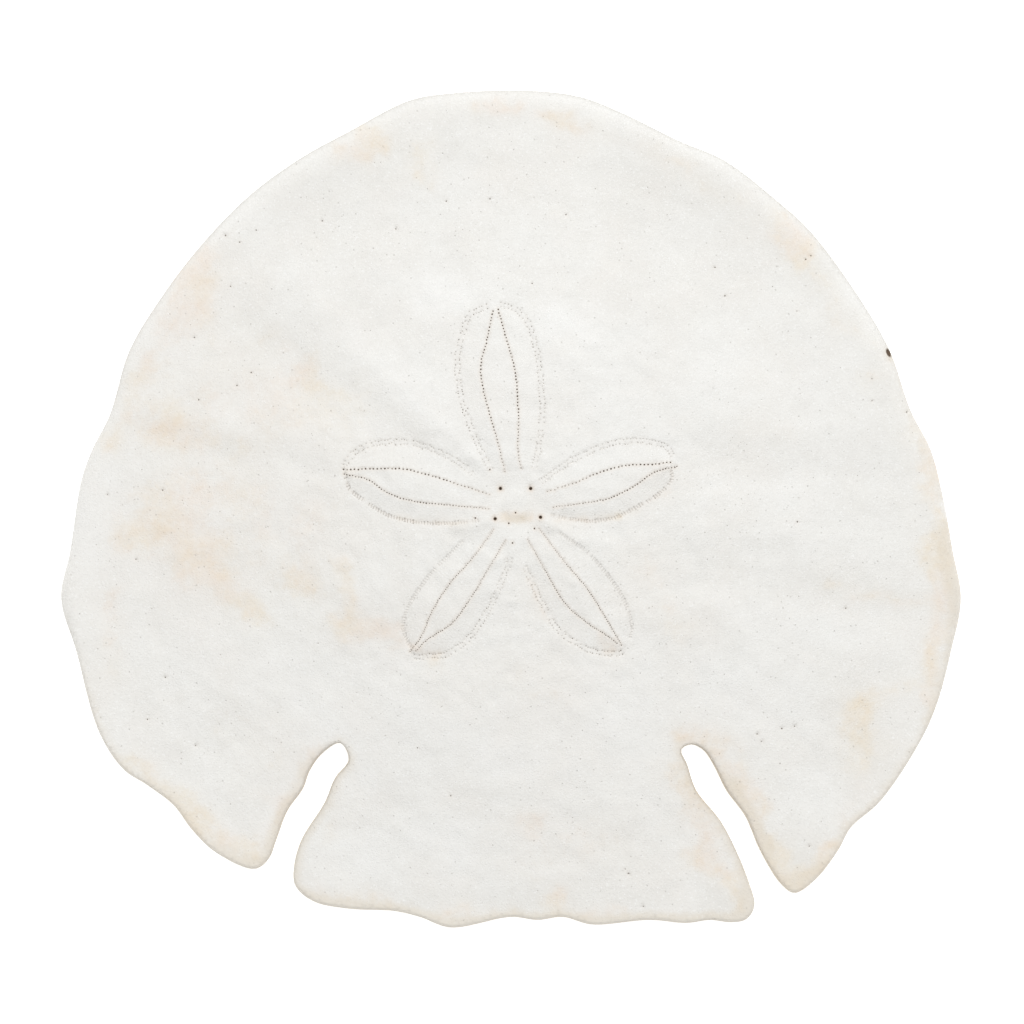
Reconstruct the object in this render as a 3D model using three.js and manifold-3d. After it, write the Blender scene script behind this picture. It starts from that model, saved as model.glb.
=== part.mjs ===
// Sand dollar test: the bleached skeleton of a two-notched, arrowhead sand dollar.
//
// Millimetres, +Z up, +Y towards the front edge, +X to the right seen from above.
// The origin lies on the flat underside, below the middle of the bounding box.
// The test grew as one piece, so it is one closed solid: a low dome with a thin round-nosed
// rim, two open notches at the rear, a shallow relief of five petals, and a flat underside
// with the mouth in its middle and the vent near its rear edge.

import * as THREE from 'three';
import { mergeVertices } from 'three/addons/utils/BufferGeometryUtils.js';
import Module from 'manifold-3d';

// Driving dimensions
const TEST_WIDTH = 120;
const APEX_HEIGHT = 9.6;
const RIM_THICKNESS = 2.9;
const NOSE_HEIGHT = 1.3; // height of the rim's outermost line
const FRONT_NOSE_WIDTH = 3.4; // how far in the rim's rounding reaches on top, at the front
const REAR_NOSE_WIDTH = 0.5; // the same at the rear and in the notches
const NOSE_CHANGE = [-25, 15]; // the width changes between these places along Y
const UNDER_NOSE_WIDTH = 1.7; // how far in it reaches below
const DOME_HALF_WIDTH = 59.5;
const DOME_HALF_LENGTH = 56;
const DOME_POWER = 1.7;
const APEX = new THREE.Vector2(0.8, 0.5);

// Underside
const DISH_RADIUS = 14; // shallow hollow around the mouth
const DISH_DEPTH = 0.5;
const MOUTH = { x: 0.5, y: 0.5, radius: 2.2, depth: 2.6 };
const VENT = { x: 0, y: -46, radius: 1.2, depth: 1.6 };
const PIT_SIDES = 20;

// Gonopores, the four small holes around the apex
const GONOPORES = [[-1.4, 2.7], [2.6, 2.7], [-2.1, -1.3], [3.9, -1.1]];
const GONOPORE_RADIUS = 0.25;
const GONOPORE_DEPTH = 0.9;
const GONOPORE_SIDES = 8;

// Petals: base and tip of the axis, and half the width across the outer pore rows
const PETALS = [
  { base: [0.3, 4.6], tip: [-2.0, 27.2], halfWidth: 5.6 },
  { base: [-3.6, 1.4], tip: [-22.6, 5.2], halfWidth: 5.1 },
  { base: [4.6, 1.4], tip: [22.4, 6.2], halfWidth: 5.1 },
  { base: [-1.6, -3.4], tip: [-13.6, -19.6], halfWidth: 4.6 },
  { base: [2.9, -3.4], tip: [14.9, -19.2], halfWidth: 4.7 },
];
const PETAL_WIDEST = 0.62; // where along its axis a petal is widest
const PETAL_BASE_START = 0.12; // share of the leaf shape that is cut off at the base
const PETAL_END_POWER = 0.5;
const INNER_ROW = 0.42; // share of the half-width where the inner pore row runs
const PETAL_RISE = 0.34; // middle of a petal above the dome
const PORE_BAND_DROP = 0.12; // outer edge of a pore band below the dome

// Ridges between the petals, as directions in degrees from +X
const RIDGE_ANGLES = [42, 133, 197, 273, 332];
const RIDGE_START = 3;
const RIDGE_END = 15;
const RIDGE_HALF_WIDTH = 1.1;
const RIDGE_HEIGHT = 0.25;

// Facet sizes
const EDGE_STEP = 1.3;
const TOP_RINGS = [0.45, 1.9];
const UNDER_RINGS = [0.5, 1.7];
const ROSETTE_RADIUS = 26;
const ROSETTE_STEP = 1.25;
const TOP_STEP = 3.4;
const UNDER_STEP = 12;
const DISH_STEP = 3.5;

// Outline from above, clockwise from the front, as knots of one smooth closed curve
const FRONT_AND_RIGHT = [
  [2.5, 55.8], [9.2, 55], [14.5, 53], [22.5, 49.1], [28.5, 46.5], [35.9, 40.8], [40.1, 36.9],
  [46.6, 28], [50.5, 21.2], [53.3, 13.2], [56, 7.9], [57.7, 1.2], [58.9, -5.5], [60, -11.9],
  [58.7, -18.8], [57, -25.3], [54.9, -30.3], [49.3, -38.8], [45.3, -42.4], [43.7, -45.3],
  [40.6, -49.3], [37.8, -51.1],
];
const RIGHT_NOTCH = [
  [36, -49.9], [33.2, -45.4], [31.2, -40.8], [28.7, -37.4], [27.2, -34.4], [25.7, -32.1],
  [24, -31.3], [22.7, -32], [23.5, -33.9], [24.7, -37.3], [28, -41.5], [30, -45.3],
  [31.7, -49.5], [32.5, -52.8],
];
const REAR = [
  [31.4, -54.6], [29.3, -55], [26.6, -54.7], [23.4, -55.1], [18.5, -54.7], [10.8, -55.3],
  [6.9, -54.3], [3.6, -54.7], [0, -54.3], [-8, -55.7], [-12.1, -54.3], [-15.5, -53.5],
  [-21.5, -53.2], [-26.3, -52.2], [-28.7, -50.1],
];
const LEFT_NOTCH = [
  [-28.9, -47.7], [-27.9, -44], [-24.8, -39], [-23.4, -35.7], [-21.6, -33.3],
  [-22.7, -31.1], [-25.2, -32.6], [-26.8, -34.9], [-27.6, -37.1], [-29.7, -40.1],
  [-31.2, -44], [-32.2, -46.5],
];
const LEFT = [
  [-34.1, -47.9], [-39.4, -45.6], [-42.5, -42.6], [-44.9, -39.4], [-48.3, -36.8],
  [-51.7, -34.5], [-54.9, -29.5], [-57.9, -18.8], [-59.9, -11.8], [-58.7, -5.5], [-57.2, 3.9],
  [-55.8, 7.9], [-53.4, 12.7], [-50.8, 21.2], [-46.8, 27.9], [-41.7, 34.7], [-35.1, 41.6],
  [-28.2, 46.7], [-21.5, 50.4], [-13.5, 54.5], [-7.5, 55.5],
];
const OUTLINE = [...FRONT_AND_RIGHT, ...RIGHT_NOTCH, ...REAR, ...LEFT_NOTCH, ...LEFT];

// Evenly spaced points of the outline, anticlockwise, scaled to the test's width and
// centred on their own box.
function outlinePoints() {
  const knots = OUTLINE.map(([x, y]) => new THREE.Vector3(x, y, 0)).reverse();
  const curve = new THREE.CatmullRomCurve3(knots, true, 'centripetal');
  const count = Math.round(curve.getLength() / EDGE_STEP);
  const points = curve.getSpacedPoints(count).slice(0, count);
  const box = new THREE.Box3().setFromPoints(points);
  const centre = box.getCenter(new THREE.Vector3());
  const scale = TEST_WIDTH / (box.max.x - box.min.x);
  return points.map((p) => [(p.x - centre.x) * scale, (p.y - centre.y) * scale]);
}

// Distance from a point to the outline.
function edgeDistance(outline, x, y) {
  let nearest = Infinity;
  for (let i = 0; i < outline.length; i++) {
    const [ax, ay] = outline[i];
    const [bx, by] = outline[(i + 1) % outline.length];
    const dx = bx - ax;
    const dy = by - ay;
    const share = THREE.MathUtils.clamp(((x - ax) * dx + (y - ay) * dy) / (dx * dx + dy * dy), 0, 1);
    nearest = Math.min(nearest, Math.hypot(x - ax - share * dx, y - ay - share * dy));
  }
  return nearest;
}

// Whether a point lies inside the outline.
function isInside(outline, x, y) {
  let inside = false;
  for (let i = 0, j = outline.length - 1; i < outline.length; j = i++) {
    const [ax, ay] = outline[i];
    const [bx, by] = outline[j];
    if (ay > y !== by > y && x < ((bx - ax) * (y - ay)) / (by - ay) + ax) inside = !inside;
  }
  return inside;
}

// A quarter ellipse from 0 at the edge to 1 at the given width.
function nose(distance, width) {
  const share = 1 - Math.min(distance / width, 1);
  return Math.sqrt(1 - share * share);
}

// Half the width of a petal at a share of its length, as a share of its widest.
function petalShape(share) {
  const along = PETAL_BASE_START + (1 - PETAL_BASE_START) * share;
  const basePower = (PETAL_END_POWER * PETAL_WIDEST) / (1 - PETAL_WIDEST);
  const rise = (along / PETAL_WIDEST) ** basePower;
  return rise * ((1 - along) / (1 - PETAL_WIDEST)) ** PETAL_END_POWER;
}

// Height that a petal adds: a raised middle, and a pore band on each side that slopes down
// to the outer row, where the surface steps back up.
function petalRelief({ base, tip, halfWidth }, x, y) {
  const axis = new THREE.Vector2(tip[0] - base[0], tip[1] - base[1]);
  const length = axis.length();
  axis.normalize();
  const offset = new THREE.Vector2(x - base[0], y - base[1]);
  const share = offset.dot(axis) / length;
  if (share <= 0 || share >= 1) return 0;
  const across = Math.abs(offset.cross(axis)) / (halfWidth * petalShape(share));
  if (across >= 1) return 0;
  const fade = THREE.MathUtils.smoothstep(share, 0, 0.15);
  const band = Math.max(0, (across - INNER_ROW) / (1 - INNER_ROW));
  return fade * (PETAL_RISE * (1 - band) - PORE_BAND_DROP * band);
}

// Height that a ridge between two petals adds.
function ridgeRelief(degrees, x, y) {
  const angle = THREE.MathUtils.degToRad(degrees);
  const along = (x - APEX.x) * Math.cos(angle) + (y - APEX.y) * Math.sin(angle);
  const across = (y - APEX.y) * Math.cos(angle) - (x - APEX.x) * Math.sin(angle);
  const start = THREE.MathUtils.smoothstep(along, RIDGE_START - 1, RIDGE_START + 1);
  const end = 1 - THREE.MathUtils.smoothstep(along, RIDGE_START, RIDGE_END);
  return RIDGE_HEIGHT * start * end * Math.exp(-((across / RIDGE_HALF_WIDTH) ** 2));
}

// Height of the upper surface.
function topHeight(outline, x, y) {
  const out = Math.hypot((x - APEX.x) / DOME_HALF_WIDTH, (y - APEX.y) / DOME_HALF_LENGTH);
  const dome = (APEX_HEIGHT - RIM_THICKNESS) * Math.max(0, 1 - out * out) ** DOME_POWER;
  const front = THREE.MathUtils.smoothstep(y, ...NOSE_CHANGE);
  const width = THREE.MathUtils.lerp(REAR_NOSE_WIDTH, FRONT_NOSE_WIDTH, front);
  const rounding = nose(edgeDistance(outline, x, y), width);
  const petals = PETALS.reduce((sum, petal) => sum + petalRelief(petal, x, y), 0);
  const ridges = RIDGE_ANGLES.reduce((sum, angle) => sum + ridgeRelief(angle, x, y), 0);
  return NOSE_HEIGHT + (RIM_THICKNESS + dome - NOSE_HEIGHT) * rounding + petals + ridges;
}

// Height of the underside: flat, with a shallow dish around the mouth.
function underHeight(outline, x, y) {
  const rounding = NOSE_HEIGHT * (1 - nose(edgeDistance(outline, x, y), UNDER_NOSE_WIDTH));
  const out = Math.min(Math.hypot(x - MOUTH.x, y - MOUTH.y) / DISH_RADIUS, 1);
  return rounding + DISH_DEPTH * (1 - out * out) ** 2;
}

// Points on a line a fixed distance inside the outline, staggered against the line before.
function ring(outline, inset, stagger) {
  const points = [];
  const count = outline.length;
  for (let i = 0; i < count; i++) {
    const [ax, ay] = outline[i];
    const [bx, by] = outline[(i + 1) % count];
    const length = Math.hypot(bx - ax, by - ay);
    const x = ax + stagger * (bx - ax) - (inset * (by - ay)) / length;
    const y = ay + stagger * (by - ay) + (inset * (bx - ax)) / length;
    const clear = edgeDistance(outline, x, y) > 0.96 * inset;
    if (clear && points.every(([px, py]) => Math.hypot(px - x, py - y) > 0.6 * EDGE_STEP)) {
      points.push([x, y]);
    }
  }
  return points;
}

// Points of a triangular lattice that a test keeps.
function lattice(step, keep) {
  const points = [];
  const rowStep = (step * Math.sqrt(3)) / 2;
  const rows = Math.ceil(TEST_WIDTH / 2 / rowStep);
  const columns = Math.ceil(TEST_WIDTH / 2 / step) + 1;
  for (let row = -rows; row <= rows; row++) {
    for (let column = -columns; column <= columns; column++) {
      const x = (column + (row % 2 ? 0.5 : 0)) * step;
      const y = row * rowStep;
      if (keep(x, y)) points.push([x, y]);
    }
  }
  return points;
}

// A triangle with its circumcircle, for points given by their numbers.
function makeTriangle(points, a, b, c) {
  const [ax, ay] = points[a];
  const [bx, by] = [points[b][0] - ax, points[b][1] - ay];
  const [cx, cy] = [points[c][0] - ax, points[c][1] - ay];
  const twiceArea = 2 * (bx * cy - by * cx);
  const ux = (cy * (bx * bx + by * by) - by * (cx * cx + cy * cy)) / twiceArea;
  const uy = (bx * (cx * cx + cy * cy) - cx * (bx * bx + by * by)) / twiceArea;
  return { corners: [a, b, c], x: ax + ux, y: ay + uy, radiusSquared: ux * ux + uy * uy };
}

// Delaunay triangulation by adding one point at a time.
function triangulate(points) {
  const far = 100 * TEST_WIDTH;
  const all = [...points, [-far, -far], [far, -far], [0, far]];
  const count = points.length;
  let triangles = [makeTriangle(all, count, count + 1, count + 2)];
  points.forEach(([x, y], index) => {
    const rim = new Map();
    triangles = triangles.filter((triangle) => {
      const away = (x - triangle.x) ** 2 + (y - triangle.y) ** 2 >= triangle.radiusSquared;
      if (away) return true;
      const [a, b, c] = triangle.corners;
      for (const [from, to] of [[a, b], [b, c], [c, a]]) {
        if (!rim.delete(`${to},${from}`)) rim.set(`${from},${to}`, [from, to]);
      }
      return false;
    });
    for (const [from, to] of rim.values()) triangles.push(makeTriangle(all, from, to, index));
  });
  return triangles.map(({ corners }) => corners).filter((corners) => Math.max(...corners) < count);
}

// Triangles of one surface, as numbers into its own points. The outline's points come first.
function surfaceTriangles(outline, points) {
  return triangulate(points).filter((corners) => {
    const x = corners.reduce((sum, corner) => sum + points[corner][0], 0) / 3;
    const y = corners.reduce((sum, corner) => sum + points[corner][1], 0) / 3;
    return isInside(outline, x, y);
  });
}

// Points of the upper surface: close around the petals and the rim, wider elsewhere.
function topPoints(outline) {
  const rings = TOP_RINGS.flatMap((inset, index) => ring(outline, inset, index % 2 ? 0 : 0.5));
  const innermost = TOP_RINGS[TOP_RINGS.length - 1];
  const fine = lattice(ROSETTE_STEP, (x, y) => Math.hypot(x, y) < ROSETTE_RADIUS);
  const coarse = lattice(TOP_STEP, (x, y) => {
    const beyond = Math.hypot(x, y) > ROSETTE_RADIUS + 0.5 * TOP_STEP;
    return beyond && isInside(outline, x, y) && edgeDistance(outline, x, y) > innermost + 0.45 * TOP_STEP;
  });
  return [...outline, ...rings, ...fine, ...coarse];
}

// Points of the underside: wide apart on its flat, closer in the dish.
function underPoints(outline) {
  const rings = UNDER_RINGS.flatMap((inset, index) => ring(outline, inset, index % 2 ? 0 : 0.5));
  const dish = lattice(DISH_STEP, (x, y) => Math.hypot(x - MOUTH.x, y - MOUTH.y) < DISH_RADIUS + 1);
  const flat = lattice(UNDER_STEP, (x, y) => {
    const beyond = Math.hypot(x - MOUTH.x, y - MOUTH.y) > DISH_RADIUS + 0.5 * UNDER_STEP;
    return beyond && isInside(outline, x, y) && edgeDistance(outline, x, y) > 0.3 * UNDER_STEP;
  });
  return [...outline, ...rings, ...dish, ...flat];
}

// The closed body: both surfaces meet in the rim's outermost line.
function bodyGeometry() {
  const outline = outlinePoints();
  const shared = outline.length;
  const top = topPoints(outline);
  const under = underPoints(outline);
  const positions = [];
  outline.forEach(([x, y]) => positions.push(x, y, NOSE_HEIGHT));
  top.slice(shared).forEach(([x, y]) => positions.push(x, y, topHeight(outline, x, y)));
  under.slice(shared).forEach(([x, y]) => positions.push(x, y, underHeight(outline, x, y)));
  const shift = top.length - shared;
  const index = surfaceTriangles(outline, top).flat();
  for (const corners of surfaceTriangles(outline, under)) {
    index.push(...corners.reverse().map((corner) => (corner < shared ? corner : corner + shift)));
  }
  const geometry = new THREE.BufferGeometry();
  geometry.setAttribute('position', new THREE.Float32BufferAttribute(positions, 3));
  geometry.setIndex(index);
  return geometry;
}

// A round-bottomed pit cutter along Z. It runs from one unit outside the surface at z = 0 to
// its depth, upwards.
function pitCutter(radius, depth, sides) {
  const profile = [[0, -1], [radius, -1], [radius, 0.5 * depth], [0.6 * radius, 0.9 * depth], [0, depth]];
  const geometry = new THREE.LatheGeometry(profile.map(([r, z]) => new THREE.Vector2(r, z)), sides);
  return geometry.rotateX(Math.PI / 2);
}

const wasm = await Module();
wasm.setup();

// A closed geometry as a solid for cutting.
function toSolid(geometry) {
  geometry.deleteAttribute('normal');
  geometry.deleteAttribute('uv');
  const merged = mergeVertices(geometry, 1e-4);
  return new wasm.Manifold(new wasm.Mesh({
    numProp: 3,
    vertProperties: new Float32Array(merged.attributes.position.array),
    triVerts: new Uint32Array(merged.index.array),
  }));
}

// A solid as a geometry again.
function toGeometry(solid) {
  const { vertProperties, triVerts } = solid.getMesh();
  const geometry = new THREE.BufferGeometry();
  geometry.setAttribute('position', new THREE.BufferAttribute(vertProperties, 3));
  geometry.setIndex(new THREE.BufferAttribute(triVerts, 1));
  geometry.computeVertexNormals();
  return geometry;
}

// The mouth and the vent, cut up into the underside.
function undersidePits() {
  return [MOUTH, VENT].map(({ x, y, radius, depth }) => {
    return pitCutter(radius, depth, PIT_SIDES).translate(x, y, 0);
  });
}

// The gonopores, cut down into the top.
function gonopores(outline) {
  return GONOPORES.map(([x, y]) => {
    const cutter = pitCutter(GONOPORE_RADIUS, GONOPORE_DEPTH, GONOPORE_SIDES);
    return cutter.rotateX(Math.PI).translate(x, y, topHeight(outline, x, y));
  });
}

const cutters = [...undersidePits(), ...gonopores(outlinePoints())].map(toSolid);
const testSolid = cutters.reduce((solid, cutter) => solid.subtract(cutter), toSolid(bodyGeometry()));

const bleachedCalcite = new THREE.MeshStandardMaterial({
  name: 'bleached_calcite',
  color: 0xedebe6,
  roughness: 0.85,
  metalness: 0,
});

const test = new THREE.Mesh(toGeometry(testSolid), bleachedCalcite);
test.name = 'sand_dollar_test';

const sandDollar = new THREE.Group();
sandDollar.add(test);

export default sandDollar;
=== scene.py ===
"""A bleached, two-notched sand dollar test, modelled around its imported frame.

Sizes and places inside the classes are millimetres in the frame's own axes: +X to the right and +Y
towards the front edge, seen from above, with Z = 0 on the flat underside. They turn into metres
once, where a mesh, a light or the camera is made.
"""

import logging
import math
from dataclasses import dataclass, field
from enum import Enum
from typing import Any, Iterable, Sequence

import bpy
import numpy as np
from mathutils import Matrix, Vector, noise
from mathutils.geometry import delaunay_2d_cdt
from mathutils.kdtree import KDTree


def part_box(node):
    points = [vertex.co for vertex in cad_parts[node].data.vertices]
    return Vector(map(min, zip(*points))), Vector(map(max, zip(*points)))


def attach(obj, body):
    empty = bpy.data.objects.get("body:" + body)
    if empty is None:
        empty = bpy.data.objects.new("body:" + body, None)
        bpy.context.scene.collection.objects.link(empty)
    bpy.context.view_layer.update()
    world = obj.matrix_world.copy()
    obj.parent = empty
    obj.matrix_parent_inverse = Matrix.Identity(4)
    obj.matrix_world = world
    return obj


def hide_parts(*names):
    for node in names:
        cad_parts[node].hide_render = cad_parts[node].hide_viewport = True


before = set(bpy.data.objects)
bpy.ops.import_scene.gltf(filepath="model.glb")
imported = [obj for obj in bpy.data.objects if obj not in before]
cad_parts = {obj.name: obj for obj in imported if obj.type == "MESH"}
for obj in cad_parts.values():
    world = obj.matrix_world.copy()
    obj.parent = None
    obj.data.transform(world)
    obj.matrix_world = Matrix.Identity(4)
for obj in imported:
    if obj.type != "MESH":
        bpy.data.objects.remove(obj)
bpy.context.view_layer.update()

log = logging.getLogger("sand_dollar")

MM = 0.001
ORIGIN = (0.0, 0.0)
REACH = 62.0  # half the side of the squares that points are spread over
LINE_STEP = 0.1
TURN = 2 * math.pi
NODE = "sand_dollar_test"
BODY = "root"
Point = tuple[float, float]
Cell = tuple[int, int]
Points = np.ndarray


# ---------------------------------------------------------------- curves and fields


def smooth(share: np.ndarray) -> np.ndarray:
    """A soft step from 0 to 1, as its argument goes from 0 to 1."""
    share = np.clip(share, 0.0, 1.0)
    return share * share * (3.0 - 2.0 * share)


def quarter_ellipse(distance: np.ndarray, width: np.ndarray | float) -> np.ndarray:
    """A rounding that rises from 0 at an edge to 1 at the given width."""
    share = 1.0 - np.clip(distance / width, 0.0, 1.0)
    return np.sqrt(1.0 - share * share)


def through(knots: Sequence[Point], closed: bool, per_span: int = 24) -> Points:
    """Points of a smooth centripetal curve through given knots.

    Args:
        knots: the points that the curve passes through.
        closed: whether it runs on from the last knot to the first.
        per_span: points between two knots.

    Returns:
        The curve's points, in order.
    """
    k = np.asarray(knots, float)
    before, after = (k[-1:], k[:2]) if closed else (2 * k[:1] - k[1:2], 2 * k[-1:] - k[-2:-1])
    run = np.vstack([before, k, after])
    u = np.linspace(0.0, 1.0, per_span, endpoint=False)[:, None]
    spans = []
    for p0, p1, p2, p3 in zip(run[:-3], run[1:-2], run[2:-1], run[3:]):
        a, b, c = (math.sqrt(np.linalg.norm(q - p)) for p, q in ((p0, p1), (p1, p2), (p2, p3)))
        leave = ((p1 - p0) / a - (p2 - p0) / (a + b) + (p2 - p1) / b) * b
        arrive = ((p2 - p1) / b - (p3 - p1) / (b + c) + (p3 - p2) / c) * b
        spans.append(
            (2 * u**3 - 3 * u**2 + 1) * p1
            + (u**3 - 2 * u**2 + u) * leave
            + (3 * u**2 - 2 * u**3) * p2
            + (u**3 - u**2) * arrive
        )
    points = np.vstack(spans)
    return points if closed else np.vstack([points, k[-1:]])


def spaced(points: Points, step: float, closed: bool) -> Points:
    """The same line with its points evenly spaced, close to the given step apart.

    Args:
        points: the line.
        step: the wanted distance between neighbours.
        closed: whether it runs on from its end to its start.

    Returns:
        The new points, in order.
    """
    line = np.vstack([points, points[:1]]) if closed else points
    along = np.concatenate([[0.0], np.cumsum(np.linalg.norm(np.diff(line, axis=0), axis=1))])
    count = max(2, round(along[-1] / step))
    wanted = np.linspace(0.0, along[-1], count + 1)
    even = np.stack([np.interp(wanted, along, line[:, i]) for i in (0, 1)], axis=1)
    return even[:-1] if closed else even


def directions(line: Points, closed: bool) -> Points:
    """Unit vectors along a line, one for each of its points.

    Args:
        line: its points.
        closed: whether it runs on from its end to its start.

    Returns:
        One vector for each point.
    """
    if closed:
        step = np.roll(line, -1, axis=0) - np.roll(line, 1, axis=0)
    else:
        step = np.gradient(line, axis=0)
    return step / np.linalg.norm(step, axis=1, keepdims=True)


def is_inside(polygon: Points, points: Points) -> np.ndarray:
    """Which points lie inside a closed polygon.

    Args:
        polygon: its corners, in order.
        points: places seen from above.

    Returns:
        True for each point inside.
    """
    inside = np.zeros(len(points), bool)
    x, y = points[:, 0], points[:, 1]
    for (ax, ay), (bx, by) in zip(polygon, np.roll(polygon, -1, axis=0)):
        if ay != by:
            inside ^= ((ay > y) != (by > y)) & (x < (bx - ax) * (y - ay) / (by - ay) + ax)
    return inside


def lattice(step: float, half_size: float, draw: np.random.Generator, jitter: float = 0.14) -> Points:
    """A triangular lattice over a square, each point moved a little off its place.

    Args:
        step: distance between neighbours.
        half_size: half the side of the square.
        draw: the source of the small moves.
        jitter: the largest move, as a share of the step.

    Returns:
        The lattice's points.
    """
    rows = np.arange(-half_size, half_size, step * math.sqrt(0.75))
    columns = np.arange(-half_size, half_size, step)
    x, y = np.meshgrid(columns, rows)
    x = x + 0.5 * step * (np.arange(len(rows)) % 2)[:, None]
    points = np.stack([x.ravel(), y.ravel()], axis=1)
    return points + draw.uniform(-jitter * step, jitter * step, points.shape)


def distance_from(place: Point, points: Points) -> np.ndarray:
    """How far each point is from one place."""
    return np.hypot(points[:, 0] - place[0], points[:, 1] - place[1])


class Nearest:
    """Finds the nearest of a set of points."""

    def __init__(self, points: Points) -> None:
        """Sorts the points for searching.

        Args:
            points: those to search among.
        """
        self.tree = KDTree(len(points))
        for index, (x, y) in enumerate(points):
            self.tree.insert((x, y, 0.0), index)
        self.tree.balance()

    def find(self, points: Points) -> tuple[np.ndarray, np.ndarray]:
        """Searches for every given point.

        Args:
            points: where to search from.

        Returns:
            The distance to the nearest, and its number.
        """
        found = [self.tree.find((x, y, 0.0)) for x, y in points]
        return np.array([f[2] for f in found]), np.array([f[1] for f in found], int)

    def within(self, x: float, y: float, reach: float) -> list[int]:
        """Numbers of the points no further than reach from a place."""
        return [index for _, index, _ in self.tree.find_range((x, y, 0.0), reach)]


def cell_of(x: float, y: float, size: float) -> Cell:
    """The cell of a square grid that a place lies in."""
    return math.floor(x / size), math.floor(y / size)


def is_crowded(cell: Cell, taken: set[Cell]) -> bool:
    """Whether the cell or one of the eight around it is taken."""
    return any((cell[0] + i, cell[1] + j) in taken for i in (-1, 0, 1) for j in (-1, 0, 1))


@dataclass(frozen=True)
class Streak:
    """A soft long mark, bump or furrow from one point to another.

    The value is its height, or its strength where it is a mark of colour.
    """

    start: Point
    end: Point
    radius: float
    value: float

    def at(self, points: Points) -> np.ndarray:
        """The streak's value at the given points, fading away from its middle line.

        Args:
            points: places seen from above.

        Returns:
            One value for each point.
        """
        a, b = np.asarray(self.start, float), np.asarray(self.end, float)
        run = b - a
        length = max(float(run @ run), 1e-9)
        share = np.clip((points - a) @ run / length, 0.0, 1.0)
        away = np.linalg.norm(points - a - share[:, None] * run, axis=1)
        return self.value * np.exp(-((away / self.radius) ** 2))


def streaks(*marks: tuple[Point, Point, float, float]) -> tuple[Streak, ...]:
    """Streaks from their starts, ends, radii and values."""
    return tuple(Streak(*mark) for mark in marks)


def fractal(points: Points, size: float, octaves: int, seed: float) -> np.ndarray:
    """Smooth random values between about -1 and 1.

    Args:
        points: where they are wanted.
        size: how wide the largest lumps are.
        octaves: how many finer layers there are.
        seed: picks one of many patterns.

    Returns:
        One value for each point.
    """
    return np.array([noise.fractal((x / size, y / size, seed), 0.9, 2.0, octaves) for x, y in points])


def drawn_out(u: np.ndarray, v: np.ndarray, u_size: float, v_size: float, seed: float) -> np.ndarray:
    """Smooth random values whose lumps have a different size along each of two directions."""
    return fractal(np.column_stack([u / u_size, v / v_size]), 1.0, 2, seed)


# ---------------------------------------------------------------- the outline and the dome


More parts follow.
